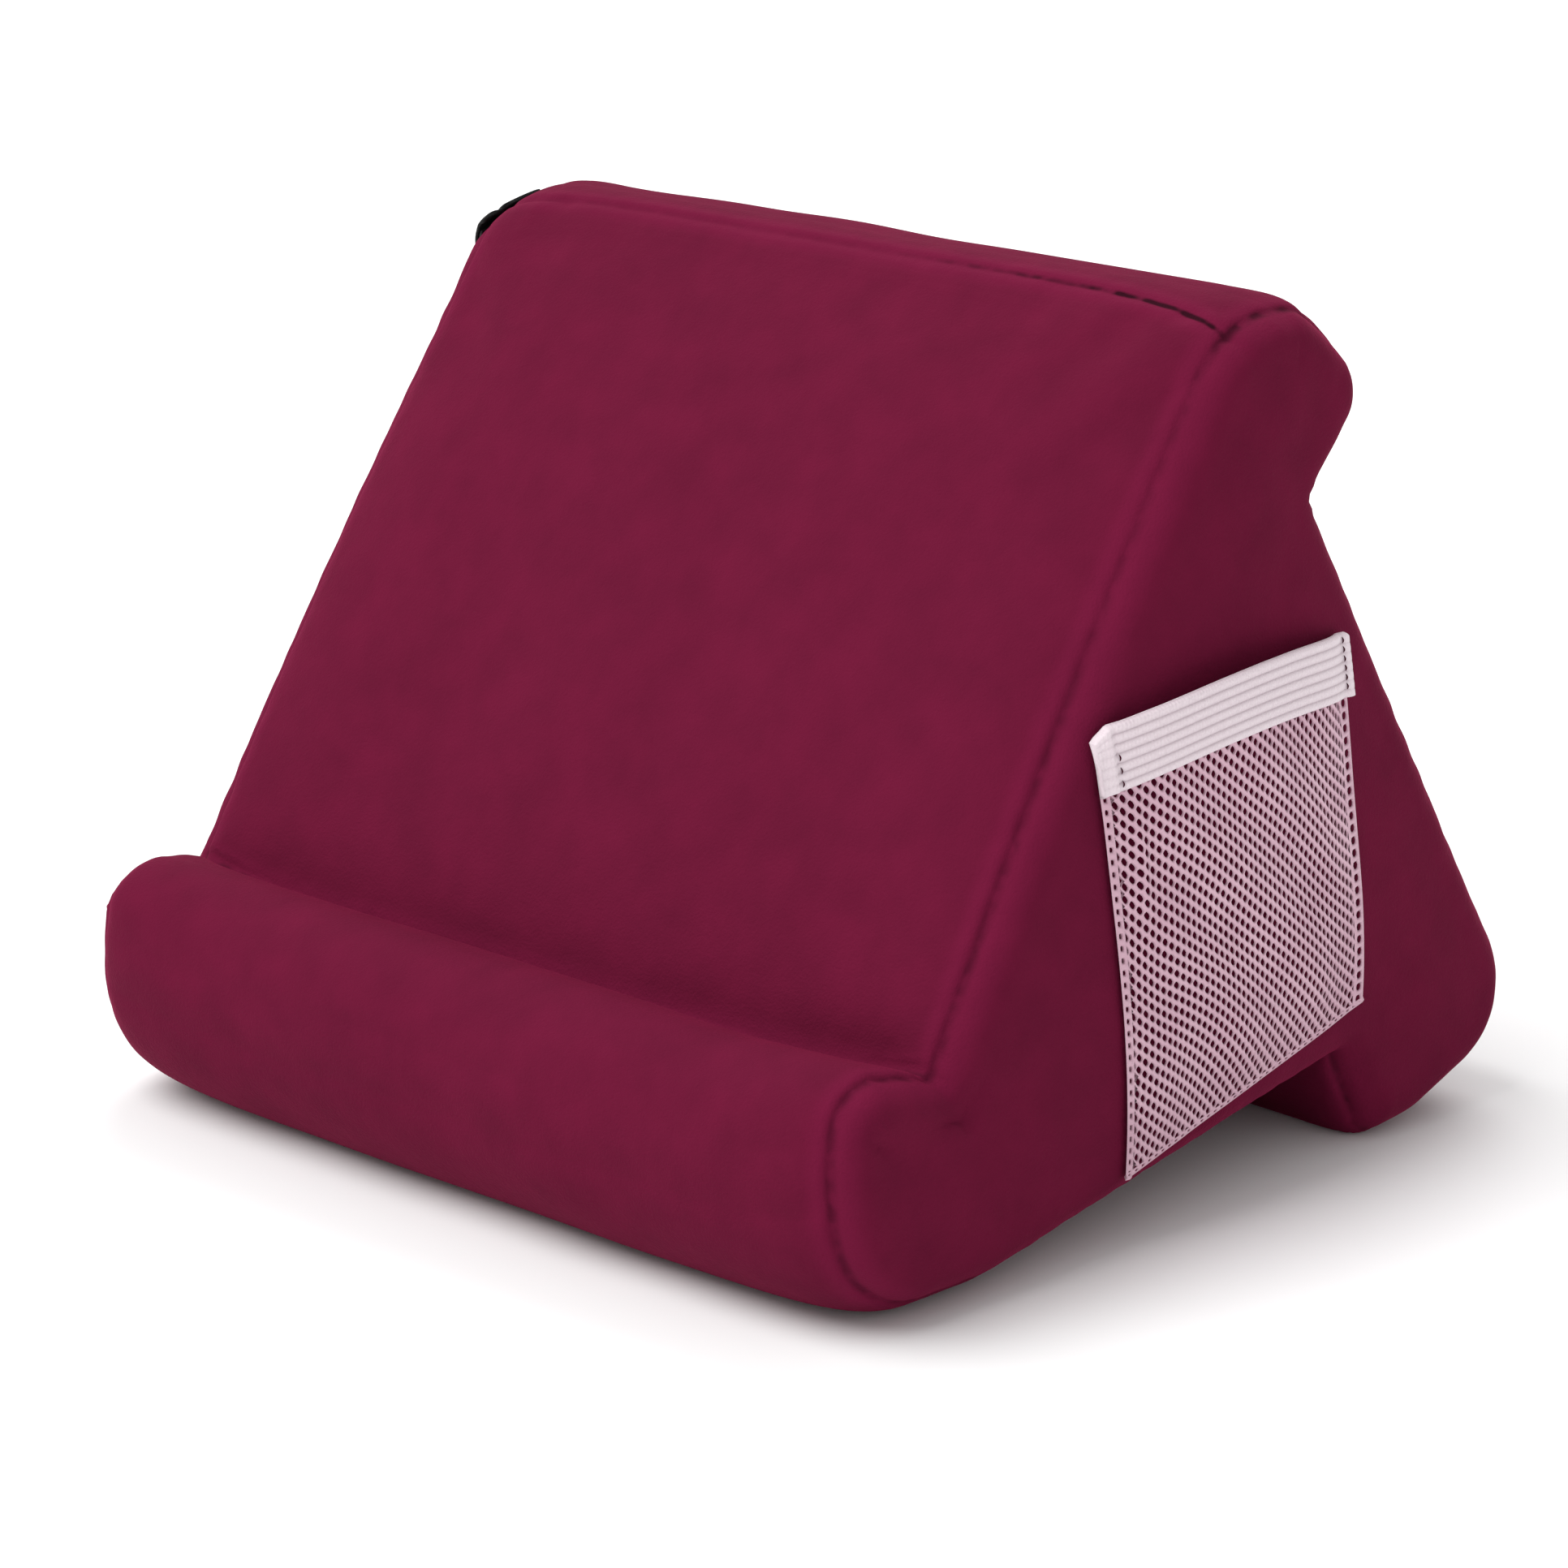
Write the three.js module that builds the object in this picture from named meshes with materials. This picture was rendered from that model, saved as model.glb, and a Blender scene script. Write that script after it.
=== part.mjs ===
// A tablet pillow: one filled cushion with three lips, so that it props a tablet at any of three angles.
// A net pocket with an elastic mouth is sewn to its right end, and a webbing loop hangs at its left end.
// Millimetres, +Z up, +X towards the pocket, -Y towards the front lip. The origin is the middle of the
// part's footprint, on the surface that it stands on.
import * as THREE from "three";

// Driving dimensions
const SEAM_WIDTH = 280; // between the seams of the two end panels
const BASE_SPREAD = 13; // how much wider the cushion is at its base than at its top
const HEIGHT = 245; // over which it spreads
const LEFT_DRAW = 2.6; // how much further the top of the left end is drawn in
const LEFT_DRAW_REACH = 95; // how far down from the top that fades out
const END_CROWN = 8; // how far an end panel stands out past its seam
const EDGE_PAD = 3.5; // how far the long panels swell within a few millimetres of an end seam
const EDGE_REACH = 4.5; // the length over which most of that swelling is reached
const SWELL_POWER = 7; // how late the sections draw in towards the ends: higher is later
const CHANNEL_DEPTH = 1.6; // of the sewn channel along a seam or valley
const CLEAR = 0.3; // between pieces that touch
const HALF_WIDTH = SEAM_WIDTH / 2; // from the middle to an end seam

// The end panel's outline: its corners in order round it, seen from the pocket end, starting at the top
// of the tablet face. y and z place the corner at the end seam, and outY and outZ move it at mid width.
// roundEnd and roundMid are its radii, with arc steps round it. The run to the next corner has run steps
// and bows out by bowEnd and bowMid. A sewn corner has a channel along its middle.
const COLUMNS = [
  "at", "y", "z", "outY", "outZ", "roundEnd", "roundMid", "arc", "run", "bowEnd", "bowMid", "sewn",
];
const CORNERS = [
  ["face top", 21.5, 234, 1.5, 2.7, 36, 14, 4, 7, 1.5, 7, true],
  ["tablet ledge", -94.5, 62.5, 1, -2, 8, 7, 4, 2, 0, 1, true],
  ["front lip crest", -129.5, 70.5, -1.5, -1, 14, 16, 5, 2, 0.5, 1.5, false],
  ["front lip base", -131.5, 5.5, -1.5, -4, 30, 27, 5, 2, 0, 0, false],
  ["underside bend", -78, 4.5, 0, -2, 60, 60, 2, 5, 0, 3, false],
  ["base ledge", 59, 27.5, 2, 2, 5, 5, 4, 2, 0, 0.5, true],
  ["foot front", 71, 1, 4, 0, 8, 9, 3, 1, 0, 0, false],
  ["foot bend", 89.5, 2.5, 2, -1, 28, 28, 2, 2, 0, 0.5, false],
  ["foot back", 139, 20, -1, 0.5, 25, 26, 5, 6, 0, 4, false],
  ["rear ledge", 53, 182.5, 0, 0, 7, 7, 4, 2, 0, 1, true],
  ["top lip edge", 78.5, 208.5, 1, 0, 8, 10, 4, 2, 0.5, 1.5, false],
  ["ridge", 51.5, 232.5, 0, -1.8, 14, 16, 2, 3, 0, 1, false],
].map((row) => Object.fromEntries(COLUMNS.map((column, i) => [column, row[i]])));
const LEAST_ROUND = 0.6; // the smallest radius that an inset corner keeps

// Where the long panels have a section, as distances in from the end seam.
const STATIONS = [0, 1.8, 4.5, 9, 16, 28, 46, 70, 102, HALF_WIDTH];

// The end panel's crown: how far in from the seam, and the share of END_CROWN reached there.
const CROWN_RINGS = [
  { inset: 3, share: 0.49 },
  { inset: 7, share: 0.82 },
  { inset: 12, share: 1 },
];

// The net pocket's corners on the end panel, and how it stands off it.
const POCKET = {
  frontTop: { y: -38.5, z: 139.5 },
  backTop: { y: 57.5, z: 146 },
  backBase: { y: 62.5, z: 42.5 },
  frontBase: { y: -29.5, z: 18 },
  mouthArch: 5, // how far the mouth's middle rises over the line between its ends
  bulge: 6.5, // how far its middle stands off the panel
  fullness: 0.7, // how soon it stands off from its sides: lower is sooner
  edgeClear: 0.4, // between its sewn edges and the panel
  bridge: 2, // the reach over which the taut net bridges the panel's curved shoulder
};
const NET_THICK = 1;
const BAND_THICK = 1.4;
const BAND_HIGH = 17.5; // the elastic's width
const BAND_LAP = 4; // how far the net runs up behind the elastic
const POCKET_STEPS = 12; // across the pocket, and up the net
const BAND_STEPS = 2; // up the elastic

// The webbing loop, sewn into the left end seam where the top panel begins.
const LOOP_WIDE = 22;
const LOOP_THICK = 1.2;
const LOOP_MIDDLE = 28.5; // the y of its middle at the seam
const LOOP_SLANT = 0.35; // how far it leans back for each millimetre down, square to the sloping seam
// The middle of the webbing as it goes out of the seam, down, round and back up: out is away from the
// seam and up is from the seam's height.
const LOOP_PATH = [
  { out: 2.1, up: 1.2 },
  { out: 4.9, up: 0.5 },
  { out: 8, up: -2.7 },
  { out: 10.3, up: -8 },
  { out: 11.5, up: -14 },
  { out: 13.2, up: -20 },
  { out: 17.2, up: -28 },
  { out: 19, up: -38 },
  { out: 17.6, up: -47 },
  { out: 13.2, up: -50.5 },
  { out: 9.9, up: -46 },
  { out: 9.4, up: -35 },
  { out: 9.4, up: -23 },
  { out: 9.5, up: -13.5 },
  { out: 8, up: -7 },
  { out: 5.1, up: -2.5 },
];
const LOOP_STEPS = 34; // along it
const LOOP_SLICES = 5; // across it

const COLOURS = {
  plush: { color: 0x721f3d, roughness: 0.95 },
  net: { color: 0xd8b4c0, roughness: 0.8 },
  elastic: { color: 0xdccdd3, roughness: 0.75 },
  webbing: { color: 0x141013, roughness: 0.7 },
};

// The direction from a to b in the section's plane, with the length between them.
function direction(a, b) {
  const y = b.y - a.y;
  const z = b.z - a.z;
  const length = Math.hypot(y, z);
  return { y: y / length, z: z / length, length };
}

// A direction's inward side, for an outline that runs anticlockwise.
const inward = (d) => ({ y: -d.z, z: d.y });

// The section's outline when its corners are a share of the way from the end's shape to mid width's, set
// in from its seam line by inset. Each corner is moved along its mitre, rounded by an arc, and joined to
// the next by a run that bows out.
function outline(share, inset) {
  const mix = (a, b) => a + (b - a) * share;
  const corners = CORNERS.map((c) => ({ y: c.y + c.outY * share, z: c.z + c.outZ * share }));
  const count = corners.length;
  const arcs = CORNERS.map((corner, i) => {
    const before = direction(corners[(i + count - 1) % count], corners[i]);
    const after = direction(corners[i], corners[(i + 1) % count]);
    const turn = Math.atan2(before.y * after.z - before.z * after.y, before.y * after.y + before.z * after.z);
    const side = inward(before);
    const next = inward(after);
    const mitre = inset / (1 + side.y * next.y + side.z * next.z);
    const tip = { y: corners[i].y + (side.y + next.y) * mitre, z: corners[i].z + (side.z + next.z) * mitre };
    const hand = Math.sign(turn);
    const radius = Math.max(mix(corner.roundEnd, corner.roundMid) - hand * inset, LEAST_ROUND);
    const tangent = radius * Math.tan(Math.abs(turn) / 2);
    const centre = {
      y: tip.y - before.y * tangent + side.y * hand * radius,
      z: tip.z - before.z * tangent + side.z * hand * radius,
    };
    const points = [];
    for (let k = 0; k <= corner.arc; k++) {
      const angle = (turn * k) / corner.arc;
      const out = { y: -side.y * hand, z: -side.z * hand };
      const turned = {
        y: out.y * Math.cos(angle) - out.z * Math.sin(angle),
        z: out.y * Math.sin(angle) + out.z * Math.cos(angle),
      };
      const sewnIn = corner.sewn && 2 * k === corner.arc ? hand * CHANNEL_DEPTH : 0;
      const reach = radius - sewnIn;
      points.push({ y: centre.y + turned.y * reach, z: centre.z + turned.z * reach });
    }
    return points;
  });
  return arcs.flatMap((arc, i) => {
    const from = arc[arc.length - 1];
    const run = direction(from, arcs[(i + 1) % count][0]);
    const { run: steps, bowEnd, bowMid } = CORNERS[i];
    const side = inward(run);
    const between = [];
    for (let k = 1; k < steps; k++) {
      const bow = mix(bowEnd, bowMid) * Math.sin((Math.PI * k) / steps);
      const along = (run.length * k) / steps;
      between.push({ y: from.y + run.y * along - side.y * bow, z: from.z + run.z * along - side.z * bow });
    }
    return [...arc, ...between];
  });
}

// Where the cushion's sloping ends bring a point that would be at x if they were upright.
function sloped(x, z) {
  const even = x * (1 + (BASE_SPREAD / SEAM_WIDTH) * (0.5 - z / HEIGHT));
  const drawn = LEFT_DRAW * Math.exp(-(((HEIGHT - z) / LEFT_DRAW_REACH) ** 2));
  return x < 0 ? even * (1 - drawn / HALF_WIDTH) : even;
}

// The height of the end seam's top as a function of y.
function topSeam() {
  const ring = outline(0, 0);
  return (y) => {
    const heights = ring.flatMap((a, i) => {
      const b = ring[(i + 1) % ring.length];
      const t = (y - a.y) / (b.y - a.y);
      return t >= 0 && t <= 1 ? [a.z + (b.z - a.z) * t] : [];
    });
    return Math.max(...heights);
  };
}

// A closed mesh from rings of points: each ring is joined to the next, and the first and last are capped
// by the flat triangulation of their outline.
function meshFromRings(name, rings, finish) {
  const count = rings[0].length;
  const index = [];
  for (let r = 0; r + 1 < rings.length; r++) {
    for (let k = 0; k < count; k++) {
      const next = (k + 1) % count;
      const [a, b, c, d] = [r * count + k, r * count + next, (r + 1) * count + next, (r + 1) * count + k];
      index.push(a, b, c, a, c, d);
    }
  }
  const flat = (ring) => ring.map((p) => new THREE.Vector2(p.y, p.z));
  for (const [i, j, k] of THREE.ShapeUtils.triangulateShape(flat(rings[0]), [])) index.push(i, k, j);
  const last = (rings.length - 1) * count;
  for (const [i, j, k] of THREE.ShapeUtils.triangulateShape(flat(rings[rings.length - 1]), [])) {
    index.push(last + i, last + j, last + k);
  }
  return meshOf(name, rings.flat(), index, finish);
}

// A named mesh from points and a triangle index.
function meshOf(name, points, index, finish) {
  const geometry = new THREE.BufferGeometry();
  const numbers = points.flatMap((p) => [p.x, p.y, p.z]);
  geometry.setAttribute("position", new THREE.Float32BufferAttribute(numbers, 3));
  geometry.setIndex(index);
  geometry.computeVertexNormals();
  const mesh = new THREE.Mesh(geometry, new THREE.MeshStandardMaterial({ ...finish, metalness: 0 }));
  mesh.name = name;
  return mesh;
}

// The filled cushion: sections from end seam to end seam, each drawn in towards the ends, and a crowned
// panel on each end. What would reach below the surface lies flat on it.
function pillow() {
  const onSurface = (x) => (p) => {
    const z = Math.max(p.z, 0);
    return { x: sloped(x, z), y: p.y, z };
  };
  const half = STATIONS.map((fromSeam) => {
    const x = HALF_WIDTH - fromSeam;
    const share = 1 - (x / HALF_WIDTH) ** SWELL_POWER;
    const pad = EDGE_PAD * (1 - Math.exp(-fromSeam / EDGE_REACH));
    return { x, points: outline(share, -pad) };
  });
  const crown = CROWN_RINGS.map(({ inset, share }) => {
    return { x: HALF_WIDTH + END_CROWN * share, points: outline(0, inset) };
  });
  const inwards = [...crown.toReversed(), ...half];
  const left = inwards.slice(0, -1).map(({ x, points }) => points.map(onSurface(-x)));
  const right = inwards.toReversed().map(({ x, points }) => points.map(onSurface(x)));
  return meshFromRings("pillow", [...left, ...right], COLOURS.plush);
}

// A sheet of cloth as a closed solid. place(u, v) is a point of its inner face, for u and v from 0 to 1,
// and the outer face lies its thickness further out along X.
function sheet(name, place, thick, across, up, finish) {
  const points = [];
  for (const out of [0, thick]) {
    for (let j = 0; j <= up; j++) {
      for (let i = 0; i <= across; i++) {
        const p = place(i / across, j / up);
        points.push({ x: p.x + out, y: p.y, z: p.z });
      }
    }
  }
  const layer = (across + 1) * (up + 1);
  const at = (i, j, out) => out * layer + j * (across + 1) + i;
  const index = [];
  const quad = (a, b, c, d) => index.push(a, b, c, a, c, d);
  for (let j = 0; j < up; j++) {
    for (let i = 0; i < across; i++) {
      quad(at(i, j, 1), at(i + 1, j, 1), at(i + 1, j + 1, 1), at(i, j + 1, 1));
      quad(at(i, j, 0), at(i, j + 1, 0), at(i + 1, j + 1, 0), at(i + 1, j, 0));
    }
  }
  for (let i = 0; i < across; i++) {
    quad(at(i, 0, 0), at(i + 1, 0, 0), at(i + 1, 0, 1), at(i, 0, 1));
    quad(at(i, up, 1), at(i + 1, up, 1), at(i + 1, up, 0), at(i, up, 0));
  }
  for (let j = 0; j < up; j++) {
    quad(at(0, j, 1), at(0, j + 1, 1), at(0, j + 1, 0), at(0, j, 0));
    quad(at(across, j, 0), at(across, j + 1, 0), at(across, j + 1, 1), at(across, j, 1));
  }
  return meshOf(name, points, index, finish);
}

// The pocket's inner face over the end panel of a cushion. It lies on the panel along its three sewn edges
// and stands off towards the middle of the mouth. at(across, down) is the point a share across from the
// front edge to the back edge and a distance down from the mouth, and height(across) is how far down the
// base is there.
function pocketFace(cushion) {
  const lerp = (a, b, t) => ({ y: a.y + (b.y - a.y) * t, z: a.z + (b.z - a.z) * t });
  const ray = new THREE.Raycaster();
  const panelAt = (y, z) => {
    ray.set(new THREE.Vector3(SEAM_WIDTH, y, z), new THREE.Vector3(-1, 0, 0));
    return ray.intersectObject(cushion)[0].point.x;
  };
  const reach = [-POCKET.bridge, 0, POCKET.bridge];
  const bridged = (y, z) => Math.max(...reach.flatMap((dy) => reach.map((dz) => panelAt(y + dy, z + dz))));
  const edges = (across) => {
    const mouth = lerp(POCKET.frontTop, POCKET.backTop, across);
    mouth.z += POCKET.mouthArch * Math.sin(Math.PI * across);
    const base = lerp(POCKET.frontBase, POCKET.backBase, across);
    return { mouth, base, height: direction(mouth, base).length };
  };
  const at = (across, down) => {
    const { mouth, base, height } = edges(across);
    const fall = down / height;
    const { y, z } = lerp(mouth, base, fall);
    const slack = (4 * across * (1 - across)) ** POCKET.fullness * (1 - fall ** 2);
    return { x: bridged(y, z) + POCKET.edgeClear + POCKET.bulge * slack, y, z };
  };
  return { at, height: (across) => edges(across).height };
}

// The net, from its sewn base up to where it runs behind the elastic.
function pocketNet(face) {
  const top = BAND_HIGH - BAND_LAP;
  const place = (u, v) => face.at(u, THREE.MathUtils.lerp(face.height(u), top, v));
  return sheet("pocket_net", place, NET_THICK, POCKET_STEPS, POCKET_STEPS, COLOURS.net);
}

// The elastic along the mouth, sewn over the net's top edge.
function pocketBand(face) {
  const place = (u, v) => {
    const p = face.at(u, BAND_HIGH * (1 - v));
    return { ...p, x: p.x + NET_THICK + CLEAR };
  };
  return sheet("pocket_band", place, BAND_THICK, POCKET_STEPS, BAND_STEPS, COLOURS.elastic);
}

// The loop of webbing that hangs outside the left end panel: its side view extruded across its width, with
// each slice at the height of the seam that it comes out of.
function hangingLoop() {
  const path = new THREE.SplineCurve(LOOP_PATH.map(({ out, up }) => new THREE.Vector2(-out, up)));
  const sides = [1, -1].map((side) => {
    const edge = [];
    for (let k = 0; k <= LOOP_STEPS; k++) {
      const at = path.getPointAt(k / LOOP_STEPS);
      const along = path.getTangentAt(k / LOOP_STEPS);
      const reach = (side * LOOP_THICK) / 2;
      edge.push(new THREE.Vector2(at.x - along.y * reach, at.y + along.x * reach));
    }
    return edge;
  });
  const shape = new THREE.Shape([...sides[0], ...sides[1].toReversed()]);
  const across = { depth: LOOP_WIDE, steps: LOOP_SLICES, bevelEnabled: false };
  const geometry = new THREE.ExtrudeGeometry(shape, across);
  geometry.translate(0, 0, -LOOP_WIDE / 2);
  geometry.rotateX(Math.PI / 2);
  const seam = topSeam();
  const position = geometry.getAttribute("position");
  for (let i = 0; i < position.count; i++) {
    const up = position.getZ(i);
    const y = position.getY(i) + LOOP_MIDDLE;
    const z = up + seam(y);
    position.setXYZ(i, sloped(position.getX(i) - HALF_WIDTH, z), y - LOOP_SLANT * up, z);
  }
  const mesh = new THREE.Mesh(geometry, new THREE.MeshStandardMaterial({ ...COLOURS.webbing, metalness: 0 }));
  mesh.name = "hanging_loop";
  return mesh;
}

const cushion = pillow();
const face = pocketFace(cushion);
const pieces = new THREE.Group().add(cushion, pocketNet(face), pocketBand(face), hangingLoop());
const middle = new THREE.Box3().setFromObject(pieces).getCenter(new THREE.Vector3());
pieces.position.set(-middle.x, -middle.y, 0);
export default new THREE.Group().add(pieces);
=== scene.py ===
"""A tablet pillow in burgundy plush, with a net pocket on its right end and a webbing loop on its left.

Lengths are millimetres up to the moment that a mesh is made. +X points towards the pocket, -Y towards
the front lip, and +Z up from the surface that the pillow stands on.
"""

import bmesh
import bpy
import numpy as np
from mathutils import Matrix, Vector
from mathutils.bvhtree import BVHTree
from mathutils.geometry import delaunay_2d_cdt


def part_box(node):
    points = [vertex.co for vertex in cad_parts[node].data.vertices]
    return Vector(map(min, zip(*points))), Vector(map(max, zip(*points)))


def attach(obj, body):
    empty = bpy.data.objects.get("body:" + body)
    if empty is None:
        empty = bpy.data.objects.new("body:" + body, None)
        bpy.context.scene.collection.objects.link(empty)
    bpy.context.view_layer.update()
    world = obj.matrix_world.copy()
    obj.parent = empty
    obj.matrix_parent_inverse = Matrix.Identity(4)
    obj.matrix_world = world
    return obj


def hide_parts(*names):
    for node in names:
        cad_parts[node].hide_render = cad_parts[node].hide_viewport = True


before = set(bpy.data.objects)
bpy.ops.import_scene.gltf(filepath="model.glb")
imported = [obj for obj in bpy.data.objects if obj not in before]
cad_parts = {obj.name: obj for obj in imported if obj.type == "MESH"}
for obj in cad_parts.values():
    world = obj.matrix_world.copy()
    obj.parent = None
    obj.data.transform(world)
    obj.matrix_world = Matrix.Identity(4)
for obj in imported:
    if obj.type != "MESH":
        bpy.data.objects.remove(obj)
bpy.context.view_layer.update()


# The cushion's cover. One long panel of short plush runs round three faces and three lips, and an end
# panel of the section's shape closes each side. It is sewn inside out with plain seams, turned, and
# filled with loose fibre until it stands firm, so its faces swell between the seams.
MM = 0.001
SEAM_WIDTH = 280
HALF_WIDTH = SEAM_WIDTH / 2
BASE_SPREAD = 13
HEIGHT = 245
LEFT_DRAW = 2.6
LEFT_DRAW_REACH = 95
END_CROWN = 8
END_CROWN_INSET = 12
END_CROWN_POWER = 3
PANEL_DOME = 1.6
PANEL_DOME_REACH = 22
EDGE_PAD = 3.5
EDGE_REACH = 4.5
SWELL_POWER = 7
CHANNEL_WIDTH = 1.5
SEAM_DRAW = 1.0
SEAM_DRAW_WIDTH = 1.0
LEAST_ROUND = 0.6
TUG_RISE = 1.2
TUG_SINK = 2.2
LIP_DRAWN_IN = 1.8
LIP_DRAWN_DOWN = 2.2

# Two meshes are made of the cover, one to render and one to simulate. pitch is the distance between points
# round a section, steps the sections from an end seam to mid width, crown_steps the rings over the crown,
# and panel_pitch the distance between points on the flat of an end panel.
FINE = {"pitch": 1.35, "steps": 56, "crown_steps": 9, "panel_pitch": 3.2}
COARSE = {"pitch": 6, "steps": 20, "crown_steps": 2, "panel_pitch": 8}
SECTION_SPACING = 1.5
CROWN_SPACING = 1.4
PANEL_ROW = 0.866
PANEL_CLEAR = 0.45

# The end panel's corners, in order round it from the top of the tablet face. y and z are at the end seam,
# and out_y and out_z move the corner at mid width. round and bow are the radius at the corner and the
# swell of the run after it, at the end seam and at mid width. sewn is how deep a seam along it is drawn in.
COLUMNS = ("y", "z", "out_y", "out_z", "round_end", "round_mid", "bow_end", "bow_mid", "sewn")
CORNERS = {
    "face top": (21.5, 234, 1.5, 2.7, 36, 14, 1.5, 7, 0.8),
    "tablet ledge": (-94.5, 62, -1.8, -5.7, 6, 4.5, 0.2, 1.5, 2.2),
    "front lip crest": (-129.5, 70.5, -1.5, -1, 14, 16, 0.5, 1.5, 0),
    "front lip base": (-131.5, 5.5, -1.5, -4, 30, 27, 0, 0, 0),
    "underside bend": (-78, 4.5, 0, -2, 60, 60, 0, 3, 0),
    "base ledge": (59, 27.5, 2, 2, 5, 5, 0, 0.5, 1.8),
    "foot front": (71, 1, 4, 0, 8, 9, 0, 0, 0),
    "foot bend": (89.5, 2.5, 2, -1, 28, 28, 0, 0.5, 0),
    "foot back": (139, 20, -1, 0.5, 25, 26, 0, 4, 0),
    "rear ledge": (53, 182.5, 0, 0, 7, 7, 0, 1, 1.8),
    "top lip edge": (78, 208.8, 1, 0, 14, 15, 0.5, 1.5, 0),
    "ridge": (51.5, 232.5, 0, -1.8, 14, 16, 0, 1, 0),
}
corner = dict(zip(COLUMNS, np.array(list(CORNERS.values()), float).T))


def bell(x, middle, width):
    """A bell curve, 1 at its middle: e to the power of minus the square of the distance over the width."""
    return np.exp(-(((x - middle) / width) ** 2))


def ramp(x, start, length):
    """A straight rise from 0 at start to 1 a length further on, which may be negative, and flat beyond."""
    return np.clip((x - start) / length, 0, 1)


def tube_quads(rings, around, starts=(0,)):
    """The quads between neighbouring closed rings of points, for a tube at each start: two points of one
    ring and the two of the next, numbered ring by ring."""
    r, k = np.meshgrid(np.arange(rings - 1), np.arange(around), indexing="ij")
    after = (k + 1) % around
    quads = np.stack([r * around + k, r * around + after, (r + 1) * around + after, (r + 1) * around + k], -1)
    return (quads.reshape(-1, 4)[None] + np.asarray(starts)[:, None, None]).reshape(-1, 4)


def tube_faces(rings, around, starts=(0,)):
    """The faces of closed tubes, as lists: their quads, and the first and the last ring of each as its ends."""
    first = np.asarray(starts)[:, None] + np.arange(around)
    ends = first[:, ::-1].tolist() + (first + around * (rings - 1)).tolist()
    return tube_quads(rings, around, starts).tolist() + ends


def outline(share, inset, pitch):
    """Outlines of the section, (sections, points, 2), and each point's distance from the nearest sewn corner.

    Each corner lies a share of the way from its place at the end seam to its place at mid width, moves in
    along its mitre by inset, and is rounded by an arc. The run to the next corner bows out as half a sine
    wave. A sewn corner is drawn in by a bell curve about the middle of its arc. Points are pitch apart.
    """
    share = np.asarray(share, float)[:, None]
    inset = np.asarray(inset, float)[:, None]
    place = np.stack([corner["y"] + corner["out_y"] * share, corner["z"] + corner["out_z"] * share], -1)
    radius = corner["round_end"] + (corner["round_mid"] - corner["round_end"]) * share
    bow = corner["bow_end"] + (corner["bow_mid"] - corner["bow_end"]) * share
    before = place - np.roll(place, 1, 1)
    before /= np.linalg.norm(before, axis=-1, keepdims=True)
    after = np.roll(before, -1, 1)
    turn = np.arctan2(
        before[..., 0] * after[..., 1] - before[..., 1] * after[..., 0], (before * after).sum(-1)
    )
    side = np.stack([-before[..., 1], before[..., 0]], -1)
    next_side = np.roll(side, -1, 1)
    tip = place + (side + next_side) * (inset / (1 + (side * next_side).sum(-1)))[..., None]
    hand = np.sign(turn)
    radius = np.maximum(radius - hand * inset, LEAST_ROUND)
    tangent = radius * np.tan(np.abs(turn) / 2)
    centre = tip - before * tangent[..., None] + side * (hand * radius)[..., None]
    longest = np.maximum(corner["round_end"], corner["round_mid"]) * np.abs(turn[0])
    arc_steps = np.maximum(5, np.ceil(longest / pitch)).astype(int)
    arcs = []
    for i, steps in enumerate(arc_steps):
        portion = np.linspace(0, 1, steps + 1)
        angle = turn[:, i, None] * portion
        out = -side[:, i] * hand[:, i, None]
        turned = np.stack(
            [
                out[:, :1] * np.cos(angle) - out[:, 1:] * np.sin(angle),
                out[:, :1] * np.sin(angle) + out[:, 1:] * np.cos(angle),
            ],
            -1,
        )
        off = (portion - 0.5) * np.abs(turn[:, i, None]) * radius[:, i, None]
        drawn = corner["sewn"][i] * bell(off, 0, CHANNEL_WIDTH)
        reach = radius[:, i, None] - hand[:, i, None] * drawn
        arcs.append(centre[:, i, None] + turned * reach[..., None])
    pieces = []
    for i, arc in enumerate(arcs):
        start = arc[:, -1]
        run = arcs[(i + 1) % len(arcs)][:, 0] - start
        length = np.linalg.norm(run, axis=-1, keepdims=True)
        outward = np.stack([run[:, 1], -run[:, 0]], -1) / length
        portion = np.linspace(0, 1, max(3, int(round(length.max() / pitch))) + 1)[1:-1]
        swell = bow[:, i, None] * np.sin(np.pi * portion)
        straight = start[:, None] + run[:, None] * portion[:, None]
        pieces += [arc, straight + outward[:, None] * swell[..., None]]
    ring = np.concatenate(pieces, 1)
    middles = [
        sum(piece.shape[1] for piece in pieces[: 2 * i]) + arc_steps[i] // 2
        for i in np.flatnonzero(corner["sewn"])
    ]
    return ring, middles


def sloped(x, z):
    """Where the sloping ends bring a point that would be at x if they were upright.

    The width falls evenly from the base to the top, and the top of the left end is drawn in a little more,
    by a bell curve of the distance below the top.
    """
    even = x * (1 + BASE_SPREAD / SEAM_WIDTH * (0.5 - z / HEIGHT))
    drawn = LEFT_DRAW * bell(z, HEIGHT, LEFT_DRAW_REACH)
    return np.where(x < 0, even * (1 - drawn / HALF_WIDTH), even)


def left_corner(x, y, z):
    """How far the left top corner rises or sinks where the loop pulls on its seam: a small bell curve of y
    at its front edge, less a wider one behind it, both fading with the distance from the end and growing
    with the height from nothing below the top lip."""
    rise = TUG_RISE * bell(y, 15, 7) - TUG_SINK * bell(y, 34, 13)
    return rise * bell(x, -145, 18) * ramp(z, 190, 25)


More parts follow.
